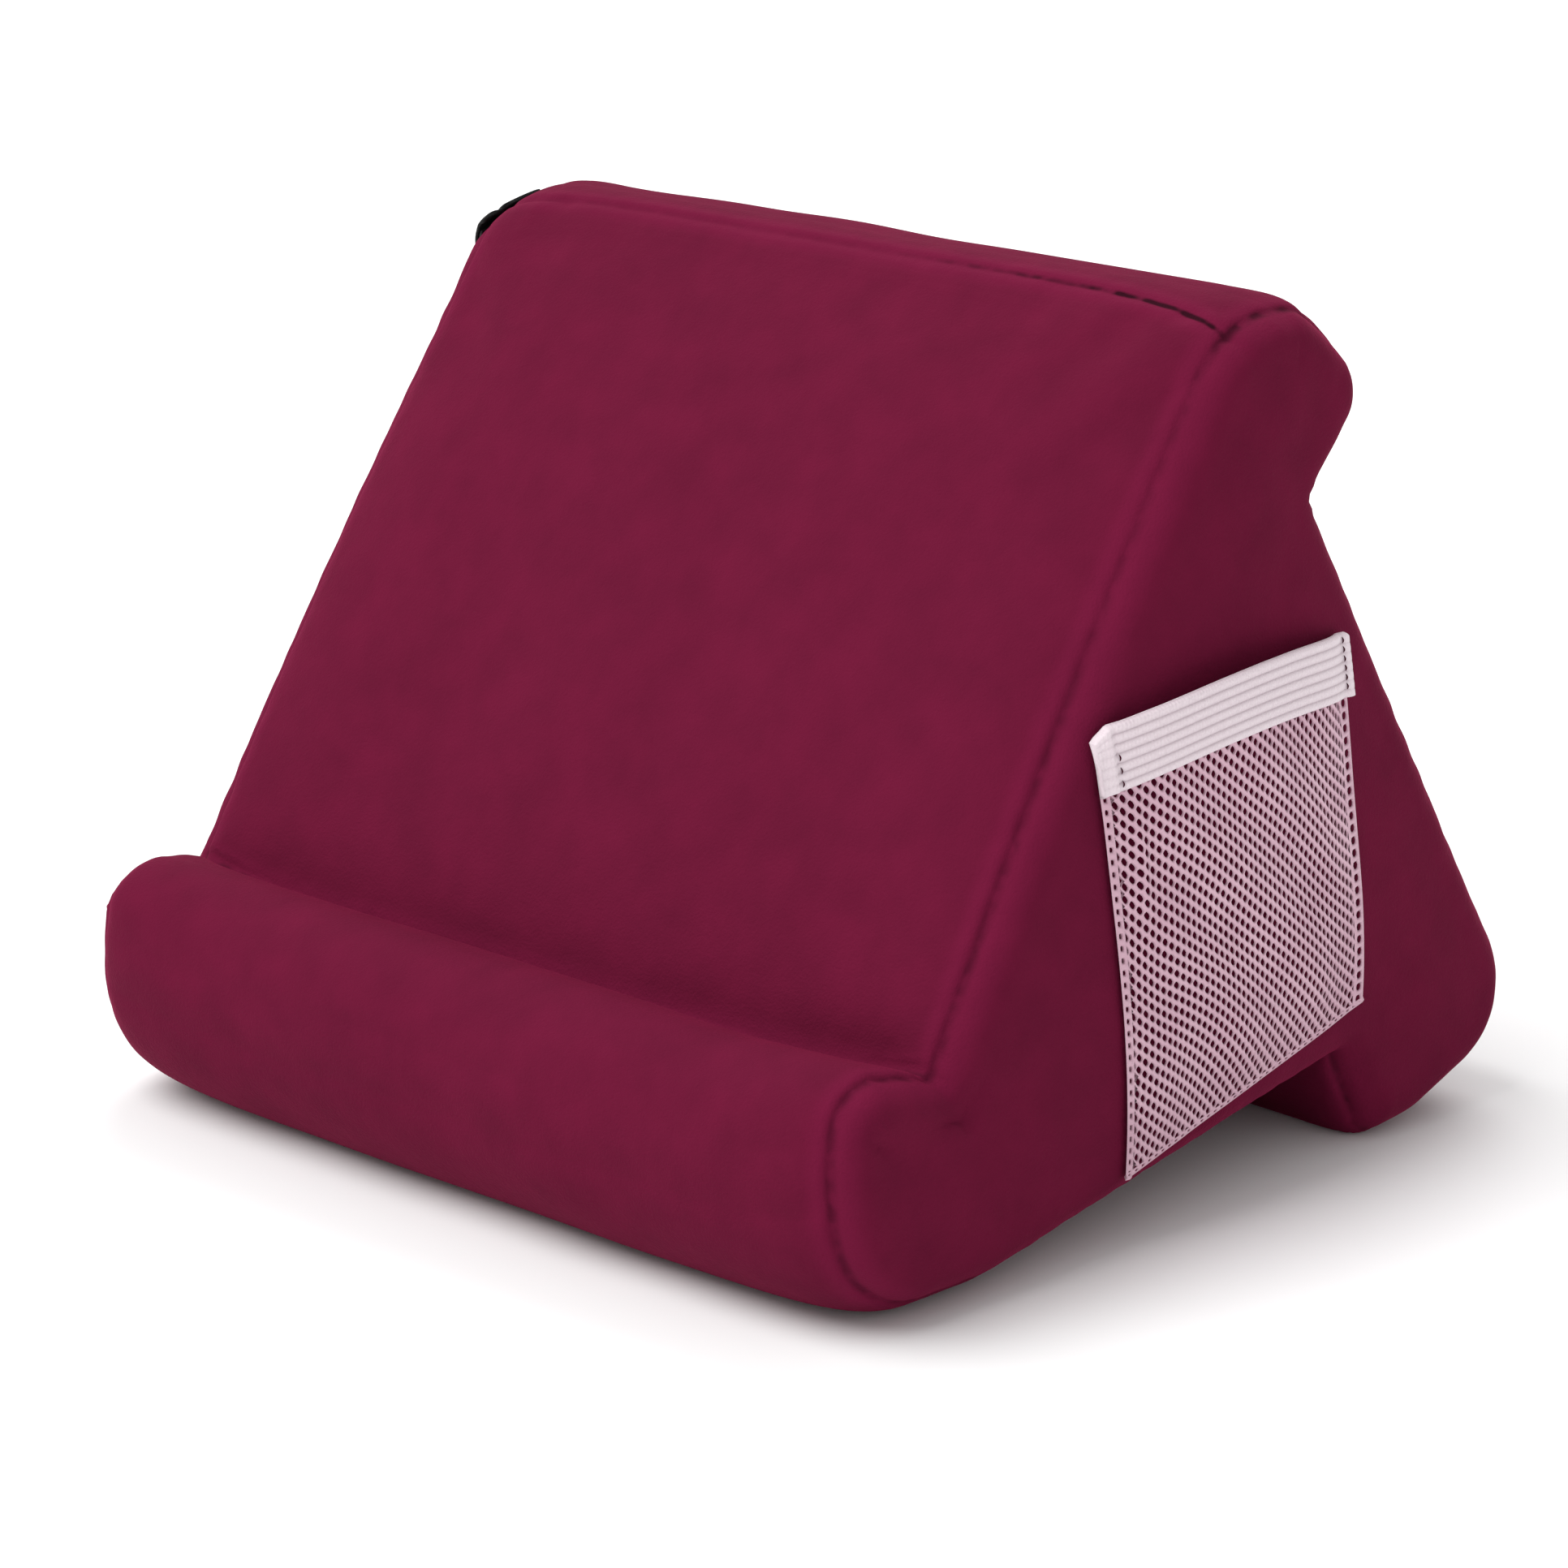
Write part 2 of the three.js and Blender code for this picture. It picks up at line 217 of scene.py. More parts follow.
def left_lip(x, y, z):
    """How far the left end of the front lip is drawn in and down, from 0 to 1: a bell curve of y and z about
    its crest, times the square of a rise over the last part of the width."""
    return ramp(x, -112, -34) ** 2 * bell(y, -122, 24) * bell(z, 66, 26)


def crowned(inset):
    """How far the end panel stands out past its seam at a distance in from it: a shoulder that flattens as
    a power of the distance left, and a low dome over the rest, which is a bell curve turned upside down."""
    shoulder = 1 - (1 - ramp(inset, 0, END_CROWN_INSET)) ** END_CROWN_POWER
    beyond = np.maximum(inset - END_CROWN_INSET, 0)
    return END_CROWN * shoulder + PANEL_DOME * (1 - bell(beyond, 0, PANEL_DOME_REACH))


def cushion_surface(pitch, steps, crown_steps, panel_pitch):
    """The cushion's points, faces and seam distances, with the numbers of its rings and the seam columns.

    Sections stand across the width, closer together near the seams, and shrinking copies of the end
    section step up the crown of each end panel. The flat rest of the panel is a triangulation of its
    outline and of staggered rows of points that lie inside it, which an even count of crossings rules out.
    """
    from_seam = HALF_WIDTH * np.linspace(0, 1, steps + 1) ** SECTION_SPACING
    inset = END_CROWN_INSET * np.linspace(1, 0, crown_steps + 1)[:-1] ** CROWN_SPACING
    x = HALF_WIDTH - from_seam
    share = 1 - (x / HALF_WIDTH) ** SWELL_POWER
    pad = EDGE_PAD * (1 - np.exp(-from_seam / EDGE_REACH))
    ring, middles = outline(
        np.concatenate([np.zeros(crown_steps), share]), np.concatenate([inset, -pad]), pitch
    )
    x = np.concatenate([HALF_WIDTH + crowned(inset), x])
    off_seam = np.concatenate([inset, from_seam])
    x = np.concatenate([x, -x[-2::-1]])
    off_seam = np.concatenate([off_seam, off_seam[-2::-1]])
    ring = np.concatenate([ring, ring[-2::-1]])
    rings, around = ring.shape[:2]
    along_x = np.broadcast_to(x[:, None], (rings, around))
    points = np.stack([along_x, ring[..., 0], ring[..., 1]], -1).reshape(-1, 3)
    step = np.linalg.norm(np.diff(ring, axis=1, append=ring[:, :1]), axis=-1)
    station = np.concatenate([np.zeros((rings, 1)), np.cumsum(step, 1)], 1)
    length = station[:, -1:]
    station = station[:, :-1]
    to_channel = np.full((rings, around), np.inf)
    for middle in middles:
        gap = np.abs(station - station[:, middle, None])
        to_channel = np.minimum(to_channel, np.minimum(gap, length - gap))
    on_panel = np.abs(along_x) > HALF_WIDTH
    seam = np.where(on_panel, off_seam[:, None], np.minimum(off_seam[:, None], to_channel)).ravel()
    faces = tube_quads(rings, around)[:, [0, 3, 2, 1]].tolist()

    rim = ring[0]
    rows = np.arange(rim[:, 1].min(), rim[:, 1].max(), panel_pitch * PANEL_ROW)
    columns = np.arange(rim[:, 0].min(), rim[:, 0].max(), panel_pitch)
    grid_y, grid_z = np.meshgrid(columns, rows)
    grid_y[1::2] += panel_pitch / 2
    inner = np.stack([grid_y.ravel(), grid_z.ravel()], -1)
    to_rim = np.linalg.norm(inner[:, None] - rim[None], axis=-1).min(1)
    a, b = rim, np.roll(rim, -1, 0)
    crosses = (a[:, 1] > inner[:, 1:]) != (b[:, 1] > inner[:, 1:])
    rise = np.where(b[:, 1] == a[:, 1], 1, b[:, 1] - a[:, 1])
    crossing = a[:, 0] + (inner[:, 1:] - a[:, 1]) * (b[:, 0] - a[:, 0]) / rise
    inside = (crosses & (crossing > inner[:, :1])).sum(1) % 2 == 1
    kept = inside & (to_rim > panel_pitch * PANEL_CLEAR)
    inner = inner[kept]
    to_rim = to_rim[kept]
    flat = np.concatenate([rim, inner])
    edges = [(i, (i + 1) % around) for i in range(around)]
    found, _, triangles, source, _, _ = delaunay_2d_cdt([Vector(p) for p in flat], edges, [], 1, 1e-6)
    origin = [s[0] for s in source]
    panel_x = HALF_WIDTH + crowned(END_CROWN_INSET + to_rim)
    for hand, first in ((1, 0), (-1, (rings - 1) * around)):
        base = len(points)
        order = np.arange(len(flat))
        number = np.where(order < around, first + order, base - around + order)
        extra = np.stack([hand * panel_x, inner[:, 0], inner[:, 1]], -1)
        points = np.concatenate([points, extra])
        seam = np.concatenate([seam, END_CROWN_INSET + to_rim])
        faces += [[int(number[origin[i]]) for i in tri][::hand] for tri in triangles]
    points[:, 2] = np.maximum(points[:, 2], 0)
    points[:, 0] = sloped(points[:, 0], points[:, 2])
    points[:, 2] += left_corner(*points.T)
    drawn = left_lip(*points.T)
    points[:, 0] += LIP_DRAWN_IN * drawn
    points[:, 2] -= LIP_DRAWN_DOWN * drawn
    return points, faces, seam, off_seam, rings, around, middles


def new_object(name, points, faces, smooth=True):
    """A mesh object at the origin from points in millimetres and faces of vertex numbers."""
    mesh = bpy.data.meshes.new(name)
    mesh.from_pydata((np.asarray(points) * MM).tolist(), [], faces)
    mesh.validate()
    if smooth:
        mesh.polygons.foreach_set("use_smooth", np.ones(len(mesh.polygons), bool))
    made = bpy.data.objects.new(name, mesh)
    bpy.context.scene.collection.objects.link(made)
    return made


def coordinates(mesh):
    """A mesh's vertices in millimetres, as an array."""
    read = np.empty(3 * len(mesh.vertices))
    mesh.vertices.foreach_get("co", read)
    return read.reshape(-1, 3) / MM


def settled(obj):
    """A new mesh of an object as its modifiers leave it."""
    return bpy.data.meshes.new_from_object(obj.evaluated_get(bpy.context.evaluated_depsgraph_get()))


def place(obj, points):
    """Writes an array of points in millimetres into an object's vertices."""
    obj.data.vertices.foreach_set("co", (points * MM).ravel())
    obj.data.update()


points, faces, seam, ring_off_seam, rings, around, middles = cushion_surface(**FINE)
pillow_lo, pillow_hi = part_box("pillow")
cad_middle = np.array((pillow_lo + pillow_hi) / 2) / MM
own_middle = (points.min(0) + points.max(0)) / 2
shift = np.array([cad_middle[0] - own_middle[0], cad_middle[1] - own_middle[1], 0])
cushion = new_object("cushion", points + shift, faces)

# The filling swells the cover between its seams, which hold. A coarse copy of the cover is blown up a
# little by cloth simulation, capped, and the fine cover follows it.
PRESSURE = 4.0
SETTLE_FRAMES = 20
MOST_SWELL = 2.6
HELD_BY_SEAM = 1.5
HELD_BY_FLOOR = 2
rough_points, rough_faces, rough_seam = cushion_surface(**COARSE)[:3]
rough = new_object("rough_cover", rough_points + shift, rough_faces)
rough_before = coordinates(rough.data)
held = rough.vertex_groups.new(name="held")
stays = (rough_seam < HELD_BY_SEAM) | (rough_before[:, 2] < HELD_BY_FLOOR)
held.add(np.flatnonzero(stays).tolist(), 1.0, "REPLACE")
filling = rough.modifiers.new("filling", "CLOTH")
filling.settings.quality = 6
filling.settings.mass = 0.3
filling.settings.tension_stiffness = 20
filling.settings.compression_stiffness = 20
filling.settings.bending_stiffness = 2
filling.settings.use_pressure = True
filling.settings.uniform_pressure_force = PRESSURE
filling.settings.effector_weights.gravity = 0
filling.settings.vertex_group_mass = "held"
filling.collision_settings.use_collision = False
filling.point_cache.frame_start = 1
filling.point_cache.frame_end = SETTLE_FRAMES
scene = bpy.context.scene
scene.frame_start = 1
scene.frame_end = SETTLE_FRAMES
for number in range(1, SETTLE_FRAMES + 1):
    scene.frame_set(number)
moved = coordinates(settled(rough)) - rough_before
rough.modifiers.clear()
scene.frame_set(1)
far = np.linalg.norm(moved, axis=1, keepdims=True)
moved *= MOST_SWELL * np.tanh(far / MOST_SWELL) / np.maximum(far, 1e-6)
triangulate = bmesh.new()
triangulate.from_mesh(rough.data)
bmesh.ops.triangulate(triangulate, faces=triangulate.faces)
triangulate.to_mesh(rough.data)
triangulate.free()
follow = cushion.modifiers.new("follow", "SURFACE_DEFORM")
follow.target = rough
with bpy.context.temp_override(object=cushion, active_object=cushion):
    bpy.ops.object.surfacedeform_bind(modifier="follow")
place(rough, rough_before + moved)
bpy.context.view_layer.update()
followed = coordinates(settled(cushion))
cushion.modifiers.clear()
place(cushion, followed)
bpy.data.objects.remove(rough)


def waves(points, length, seed, count):
    """A smooth unevenness, mostly from -1 to 1: the mean of count sine waves, times 1.6. Their directions
    and phases are drawn from seed, and their lengths are near length."""
    random = np.random.default_rng(seed)
    heading = random.normal(size=(count, 3))
    heading /= np.linalg.norm(heading, axis=1, keepdims=True)
    phase = random.uniform(0, 2 * np.pi, count)
    stretch = random.uniform(0.7, 1.4, count)
    return np.sin(points @ heading.T * (2 * np.pi / length) * stretch + phase).mean(1) * 1.6


def normals(mesh):
    """A mesh's vertex normals, as an array."""
    read = np.empty(3 * len(mesh.vertices))
    mesh.vertex_normals.foreach_get("vector", read)
    return read.reshape(-1, 3)


def write_attribute(mesh, name, values):
    """Writes one value for each point into a new attribute of a mesh, which a material can read by name."""
    made = mesh.attributes.new(name, "FLOAT", "POINT")
    made.data.foreach_set("value", values.astype(np.float32).ravel())


# Hand filling leaves the cover slightly uneven away from its seams, and the thread gathers the plush into
# small puckers that run out from every seam and die away. Each kind is a sum of waves, given as their
# height, length, seed and count. The cover lies flat on the floor, so all of it fades out below FREE_ABOVE.
UNEVEN = ((0.75, 95, 3, 10), (0.4, 42, 5, 10))
UNEVEN_CLEAR = 14
PUCKERS = ((0.336, 9, 7, 14), (0.24, 15, 9, 12))
PUCKER_REACH = 6
PUCKER_START = 1.2
TENSION = (0.35, 7, 21, 12)
SLACKER_ABOVE = 0.35
FREE_ABOVE = 12
points = coordinates(cushion.data)
uneven = sum(high * waves(points, *rest) for high, *rest in UNEVEN) * (1 - bell(seam, 0, UNEVEN_CLEAR))
gather = np.exp(-seam / PUCKER_REACH) * (1 - bell(seam, 0, PUCKER_START))
pucker = sum(high * waves(points, *rest) for high, *rest in PUCKERS) * gather
to_end_seam = np.full(len(points), np.inf)
to_end_seam[: rings * around] = np.repeat(ring_off_seam, around)
tension = 1 + TENSION[0] * waves(points, *TENSION[1:])
tension *= 1 - SLACKER_ABOVE * ramp(points[:, 2], 130, 50)
thread_pull = SEAM_DRAW * tension * bell(to_end_seam, 0, SEAM_DRAW_WIDTH)

# Behind the front lip, where a tablet presses, the cover sinks along the seam, deepest to the right.
HOLLOW_DEPTH = 2.1
HOLLOW_WIDTH = 10
HOLLOW_FROM_END = 14
HOLLOW_LEFT_SHARE = 0.15
grid = points[: rings * around].reshape(rings, around, 3)
from_trough = np.linalg.norm(grid - grid[:, middles[1], None], axis=-1)
share = HOLLOW_LEFT_SHARE + (1 - HOLLOW_LEFT_SHARE) * ramp(grid[:, :1, 0], -10, 110)
share = share * ramp(ring_off_seam, 0, HOLLOW_FROM_END)[:, None]
hollow = np.zeros(len(points))
hollow[: rings * around] = (HOLLOW_DEPTH * bell(from_trough, 0, HOLLOW_WIDTH) * share).ravel()
rise = uneven + pucker - thread_pull - hollow
points += normals(cushion.data) * (rise * ramp(points[:, 2], 0, FREE_ABOVE))[:, None]
points[:, 2] = np.maximum(points[:, 2], 0)
place(cushion, points)

# How strong the painted shade in each seam's groove is, standing for the shade where the thread closes the
# groove. On the end seams it weakens with height but for the right top corner, and along the front of the top
# it grows from mid width rightwards.
GROOVE_SHADE_AT_END = 0.36
GROOVE_SHADE_LESS_HIGH_UP = 0.2
GROOVE_SHADE_AT_CORNER = 0.45
GROOVE_SHADE_TOP_LEFT = 0.08
GROOVE_SHADE_MORE_TOP_RIGHT = 0.75
TOP_SEAM_COLUMNS = 9
TOP_SEAM_FROM_END = 3
groove_shade_weight = GROOVE_SHADE_AT_END - GROOVE_SHADE_LESS_HIGH_UP * ramp(points[:, 2], 110, 60)
at_top = np.abs(np.arange(around) - middles[0]) < TOP_SEAM_COLUMNS
top_seam = np.zeros(len(points), bool)
top_seam[: rings * around] = (at_top[None] & (ring_off_seam > TOP_SEAM_FROM_END)[:, None]).ravel()
groove_shade_weight[top_seam] = GROOVE_SHADE_TOP_LEFT + GROOVE_SHADE_MORE_TOP_RIGHT * ramp(points[top_seam, 0], 20, 80)
groove_shade_weight += GROOVE_SHADE_AT_CORNER * bell(points[:, 2], 232, 13) * (points[:, 0] > 100)
write_attribute(cushion.data, "seam", seam)
write_attribute(cushion.data, "groove_shade_weight", groove_shade_weight)


def colour(code):
    """Linear RGBA from an sRGB hex value: ((c + 0.055) / 1.055) ** 2.4, or c / 12.92 up to 0.04045."""
    c = np.array([int(code[i:i + 2], 16) for i in (0, 2, 4)]) / 255
    return (*np.where(c > 0.04045, ((c + 0.055) / 1.055) ** 2.4, c / 12.92), 1.0)


def add(tree, kind, inputs=None, **properties):
    """Adds a node of a kind. inputs gives sockets a value or the output that feeds them."""
    made = tree.nodes.new(kind)
    for name, value in properties.items():
        setattr(made, name, value)
    for name, value in (inputs or {}).items():
        if isinstance(value, bpy.types.NodeSocket):
            tree.links.new(value, made.inputs[name])
        else:
            made.inputs[name].default_value = value
    return made


def bare_material(name):
    """A new material and its node tree, with no nodes in it yet."""
    made = bpy.data.materials.new(name)
    made.use_nodes = True
    made.node_tree.nodes.clear()
    return made, made.node_tree


def cells(size):
    """The scale of a noise whose cells are this many millimetres across: one over the size in metres."""
    return 1 / (size * MM)


# Short polyester plush: a knitted back with a dense pile about a millimetre high. The pile lies this way
# and that in soft clouds. A painted highlight lightens the rolls beside each seam, and painted shade darkens
# each seam's groove. Its fibres are about 0.02 mm thick, too fine to show, so the finest noise is drawn as
# coarse as a small tuft.
CLOUD = 62.5
PATCH = 14.3
PARTING = 5.26
TUFT = 3.85
FIBRE = 0.77
SEAM_ROLL_HIGHLIGHT_FROM = 2.0
SEAM_ROLL_HIGHLIGHT_TO = 7.0
GROOVE_SHADE_TO = 1.3
plush, tree = bare_material("short_polyester_plush")
where = add(tree, "ShaderNodeTexCoord").outputs["Object"]
clouds = add(
    tree, "ShaderNodeTexNoise", {"Vector": where, "Scale": cells(CLOUD), "Detail": 3, "Roughness": 0.55},
)
patches = add(
    tree, "ShaderNodeTexNoise", {"Vector": where, "Scale": cells(PATCH), "Detail": 2, "Roughness": 0.5},
)
lie = add(
    tree, "ShaderNodeMath",
    {0: clouds.outputs["Fac"], 1: 0.6, 2: patches.outputs["Fac"]}, operation="MULTIPLY_ADD",
)
spread_of_lie = add(tree, "ShaderNodeMapRange", {"Value": lie.outputs[0], 1: 0.55, 2: 1.05, 3: 0.0, 4: 1.0})
pile = add(
    tree, "ShaderNodeMix",
    {0: spread_of_lie.outputs[0], 6: colour("5F112E"), 7: colour("671332")}, data_type="RGBA",
)
from_seam = add(tree, "ShaderNodeAttribute", attribute_name="seam")
# painted highlight: the plush's colour is lightened on the rolls 2 to 7 mm from a seam
rim = add(
    tree, "ShaderNodeMapRange",
    {"Value": from_seam.outputs["Fac"], 1: SEAM_ROLL_HIGHLIGHT_FROM, 2: SEAM_ROLL_HIGHLIGHT_TO, 3: 0.3, 4: 0.0},
    interpolation_type="SMOOTHSTEP",
)
lit = add(
    tree, "ShaderNodeMix", {0: rim.outputs[0], 6: pile.outputs[2], 7: colour("7C1A40")}, data_type="RGBA",
)
# painted shade: the plush's colour is darkened within 1.3 mm of a seam, scaled by a noise and by the per-seam
# strength attribute
groove_shade = add(
    tree, "ShaderNodeMapRange",
    {"Value": from_seam.outputs["Fac"], 1: 0.0, 2: GROOVE_SHADE_TO, 3: 1.0, 4: 0.0},
    interpolation_type="SMOOTHSTEP",
)
parting = add(
    tree, "ShaderNodeTexNoise", {"Vector": where, "Scale": cells(PARTING), "Detail": 1, "Roughness": 0.5},
)
open_here = add(
    tree, "ShaderNodeMapRange", {"Value": parting.outputs["Fac"], 1: 0.36, 2: 0.62, 3: 0.3, 4: 1.3},
)
groove_shade_attribute = add(tree, "ShaderNodeAttribute", attribute_name="groove_shade_weight")
groove_shade_strength = add(
    tree, "ShaderNodeMath", {0: open_here.outputs[0], 1: groove_shade_attribute.outputs["Fac"]}, operation="MULTIPLY",
)
groove_shade_share = add(
    tree, "ShaderNodeMath", {0: groove_shade.outputs[0], 1: groove_shade_strength.outputs[0]}, operation="MULTIPLY",
)
with_groove_shade = add(
    tree, "ShaderNodeMix",
    {0: groove_shade_share.outputs[0], 6: lit.outputs[2], 7: colour("2E0716")}, data_type="RGBA",
)
fibre = add(
    tree, "ShaderNodeTexNoise", {"Vector": where, "Scale": cells(FIBRE), "Detail": 2, "Roughness": 0.6},
)
tufts = add(
    tree, "ShaderNodeTexNoise", {"Vector": where, "Scale": cells(TUFT), "Detail": 2, "Roughness": 0.5},
)
relief = add(
    tree, "ShaderNodeMath",
    {0: tufts.outputs["Fac"], 1: 0.8, 2: fibre.outputs["Fac"]}, operation="MULTIPLY_ADD",
)
bump = add(tree, "ShaderNodeBump", {"Height": relief.outputs[0], "Strength": 0.35, "Distance": 0.0007})
surface = add(
    tree, "ShaderNodeBsdfPrincipled",
    {
        "Base Color": with_groove_shade.outputs[2], "Roughness": 0.9, "Specular IOR Level": 0.06,
        "Sheen Weight": 0.26, "Sheen Roughness": 0.25, "Sheen Tint": colour("E0306C"),
        "Normal": bump.outputs[0],
    },
)
add(tree, "ShaderNodeOutputMaterial", {"Surface": surface.outputs[0]})
cushion.data.materials.append(plush)
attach(cushion, "root")
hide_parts("pillow")


# The seam stitches. A lockstitch in thread of the plush's own colour closes every seam, and shows as a
# row of short dashes at the bottom of the groove. Along the front of the top they show only near its right
# end, where the thread is drawn tight.
STITCH_PITCH = 3.3
STITCH_LENGTH = 1.6
THREAD = 0.34
STITCH_RINGS = 7
THREAD_SIDES = 6
ARCH_HIGH = 0.9
ARCH_SUNK = 0.55
SUNK = 0.25
DEEPER_LOW = 0.24
DASHES_FROM = 45
UNEVEN_PITCH = 0.25
END_OUTWARD = 0.8
STRAND = 0.4


def along_path(path, pitch, closed):
    """Places pitch apart along a polyline, with the direction there, by linear interpolation of length."""
    if closed:
        path = np.concatenate([path, path[:1]])
    step = np.linalg.norm(np.diff(path, axis=0), axis=1)
    reach = np.concatenate([[0], np.cumsum(step)])
    at = np.arange(pitch / 2, reach[-1], pitch)
    spots = np.stack([np.interp(at, reach, path[:, i]) for i in range(3)], -1)
    ahead = np.stack([np.interp(at + 0.4 * pitch, reach, path[:, i]) for i in range(3)], -1)
    behind = np.stack([np.interp(at - 0.4 * pitch, reach, path[:, i]) for i in range(3)], -1)
    heading = ahead - behind
    return spots, heading / np.linalg.norm(heading, axis=1, keepdims=True)


def stitches(name, spots, heading, out, length, thick):
    """A joined mesh of stitches: each is a short tube on a half sine arch that dips in at both ends.

    A point of it is spot + heading times its place along + out times the arch, plus a circle of the
    thread's radius that narrows to the ends as the root of a half sine.
    """
    side = np.cross(heading, out)
    side /= np.linalg.norm(side, axis=1, keepdims=True)
    up = np.cross(side, heading)
    t = np.linspace(0, 1, STITCH_RINGS)
    angle = np.linspace(0, 2 * np.pi, THREAD_SIDES, endpoint=False)
    girth = thick / 2 * np.sqrt(np.sin(np.pi * np.clip(t, 0.02, 0.98)))
    place_along = (t - 0.5) * length
    arch = thick * (ARCH_HIGH * np.sin(np.pi * t) - ARCH_SUNK)
    ring = (
        spots[:, None, None]
        + heading[:, None, None] * place_along[:, None, None]
        + up[:, None, None] * (arch[:, None] + girth[:, None] * np.sin(angle))[..., None]
        + side[:, None, None] * (girth[:, None] * np.cos(angle))[..., None]
    )
    starts = np.arange(len(spots)) * THREAD_SIDES * STITCH_RINGS
    return new_object(name, ring.reshape(-1, 3), tube_faces(STITCH_RINGS, THREAD_SIDES, starts))


points = coordinates(cushion.data)
grid = points[: rings * around].reshape(rings, around, 3)
grid_out = normals(cushion.data)[: rings * around].reshape(rings, around, 3)
right_seam = FINE["crown_steps"]
left_seam = rings - 1 - right_seam
runs = []
for ring_number in (right_seam, left_seam):
    spots, heading = along_path(grid[ring_number], STITCH_PITCH, True)
    outward = np.sign(spots[:, :1]) * np.array([[1.0, 0, 0]]) * END_OUTWARD
    nearest = np.linalg.norm(spots[:, None] - grid[ring_number][None], axis=-1).argmin(1)
    runs.append((spots, heading, outward + grid_out[ring_number][nearest]))
for middle in middles:
    path = grid[right_seam + 1:left_seam, middle]
    spots, heading = along_path(path, STITCH_PITCH, False)
    if middle == middles[0]:
        heading = heading[spots[:, 0] > DASHES_FROM]
        spots = spots[spots[:, 0] > DASHES_FROM]
    nearest = np.linalg.norm(spots[:, None] - path[None], axis=-1).argmin(1)
    runs.append((spots, heading, grid_out[right_seam + 1:left_seam, middle][nearest]))
spots, heading, outward = (np.concatenate(part) for part in zip(*runs))
outward -= heading * (heading * outward).sum(1, keepdims=True)
outward /= np.linalg.norm(outward, axis=1, keepdims=True)
jitter = np.random.default_rng(11)
spots += heading * jitter.normal(0, UNEVEN_PITCH, (len(spots), 1))
sunk = SUNK + DEEPER_LOW * ramp(spots[:, 2:], 226, -16)
seam_stitches = stitches("seam_stitches", spots - outward * sunk, heading, outward, STITCH_LENGTH, THREAD)

# Spun polyester sewing thread, three strands twisted together, in the plush's own shade but darker.
sewing_thread, tree = bare_material("spun_polyester_sewing_thread")
where = add(tree, "ShaderNodeTexCoord").outputs["Object"]
strand = add(tree, "ShaderNodeTexNoise", {"Vector": where, "Scale": cells(STRAND), "Detail": 2})
twist = add(tree, "ShaderNodeBump", {"Height": strand.outputs["Fac"], "Strength": 0.5, "Distance": 0.0002})
shade = add(
    tree, "ShaderNodeMix",
    {0: strand.outputs["Fac"], 6: colour("2E0717"), 7: colour("4A0E26")}, data_type="RGBA",
)
surface = add(
    tree, "ShaderNodeBsdfPrincipled",
    {
        "Base Color": shade.outputs[2], "Roughness": 0.9, "Specular IOR Level": 0.1,
        "Normal": twist.outputs[0],
    },
)
add(tree, "ShaderNodeOutputMaterial", {"Surface": surface.outputs[0]})
seam_stitches.data.materials.append(sewing_thread)
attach(seam_stitches, "root")


# The pocket's net. Warp-knitted polyester with staggered oval holes, its two sides turned under as narrow
# hems and its three lower edges sewn to the right end panel. It lies on the panel at those edges and
# stands off towards the middle of its mouth.
FRONT_TOP = np.array([-40.6, 140.6])
BACK_TOP = np.array([55.2, 146.9])
BACK_BASE = np.array([62.0, 43.2])
FRONT_BASE = np.array([-33.3, 18.8])
MOUTH_ARCH = 5.0
BULGE = 6.5
FULLNESS = 0.8
FLAT_LEFT = 1.5
FLAT_RIGHT = 4.0
NEARBY = 2.0
EDGE_CLEAR = 0.55
BAND_HIGH = 17.5
BAND_LAP = 4.0
NET_WIDE = float(np.linalg.norm(BACK_TOP - FRONT_TOP))
PROBE_PITCH = 3.0
PROBE_FROM = 400

tree_of_cushion = BVHTree.FromPolygons(
    [tuple(p) for p in points], [tuple(p.vertices) for p in cushion.data.polygons]
)
probe_y = np.arange(-52, 78, PROBE_PITCH)
probe_z = np.arange(8, 166, PROBE_PITCH)
depth = np.full((len(probe_y), len(probe_z)), np.nan)
for i, y in enumerate(probe_y):
    for j, z in enumerate(probe_z):
        hit = tree_of_cushion.ray_cast(Vector((PROBE_FROM, y + shift[1], z)), Vector((-1, 0, 0)))[0]
        depth[i, j] = hit.x if hit else np.nan
depth[np.isnan(depth) | (depth < HALF_WIDTH)] = HALF_WIDTH


def panel_x(y, z):
    """The end panel's x at y and z, by bilinear interpolation of the probed depths."""
    a = np.clip((y - probe_y[0]) / PROBE_PITCH, 0, len(probe_y) - 1.001)
    b = np.clip((z - probe_z[0]) / PROBE_PITCH, 0, len(probe_z) - 1.001)
    i = a.astype(int)
    j = b.astype(int)
    u = a - i
    v = b - j
    return (
        depth[i, j] * (1 - u) * (1 - v) + depth[i + 1, j] * u * (1 - v)
        + depth[i, j + 1] * (1 - u) * v + depth[i + 1, j + 1] * u * v
    )


def pocket_edges(across, arch=MOUTH_ARCH):
    """The mouth and the base at a share across the pocket, and the height between them. The mouth rises
    over the straight line between its ends by arch times half a sine wave."""
    across = np.asarray(across, float)[..., None]
    mouth = FRONT_TOP + (BACK_TOP - FRONT_TOP) * across
    mouth = mouth + np.array([0, arch]) * np.sin(np.pi * across)
    base = FRONT_BASE + (BACK_BASE - FRONT_BASE) * across
    return mouth, base, np.linalg.norm(base - mouth, axis=-1)


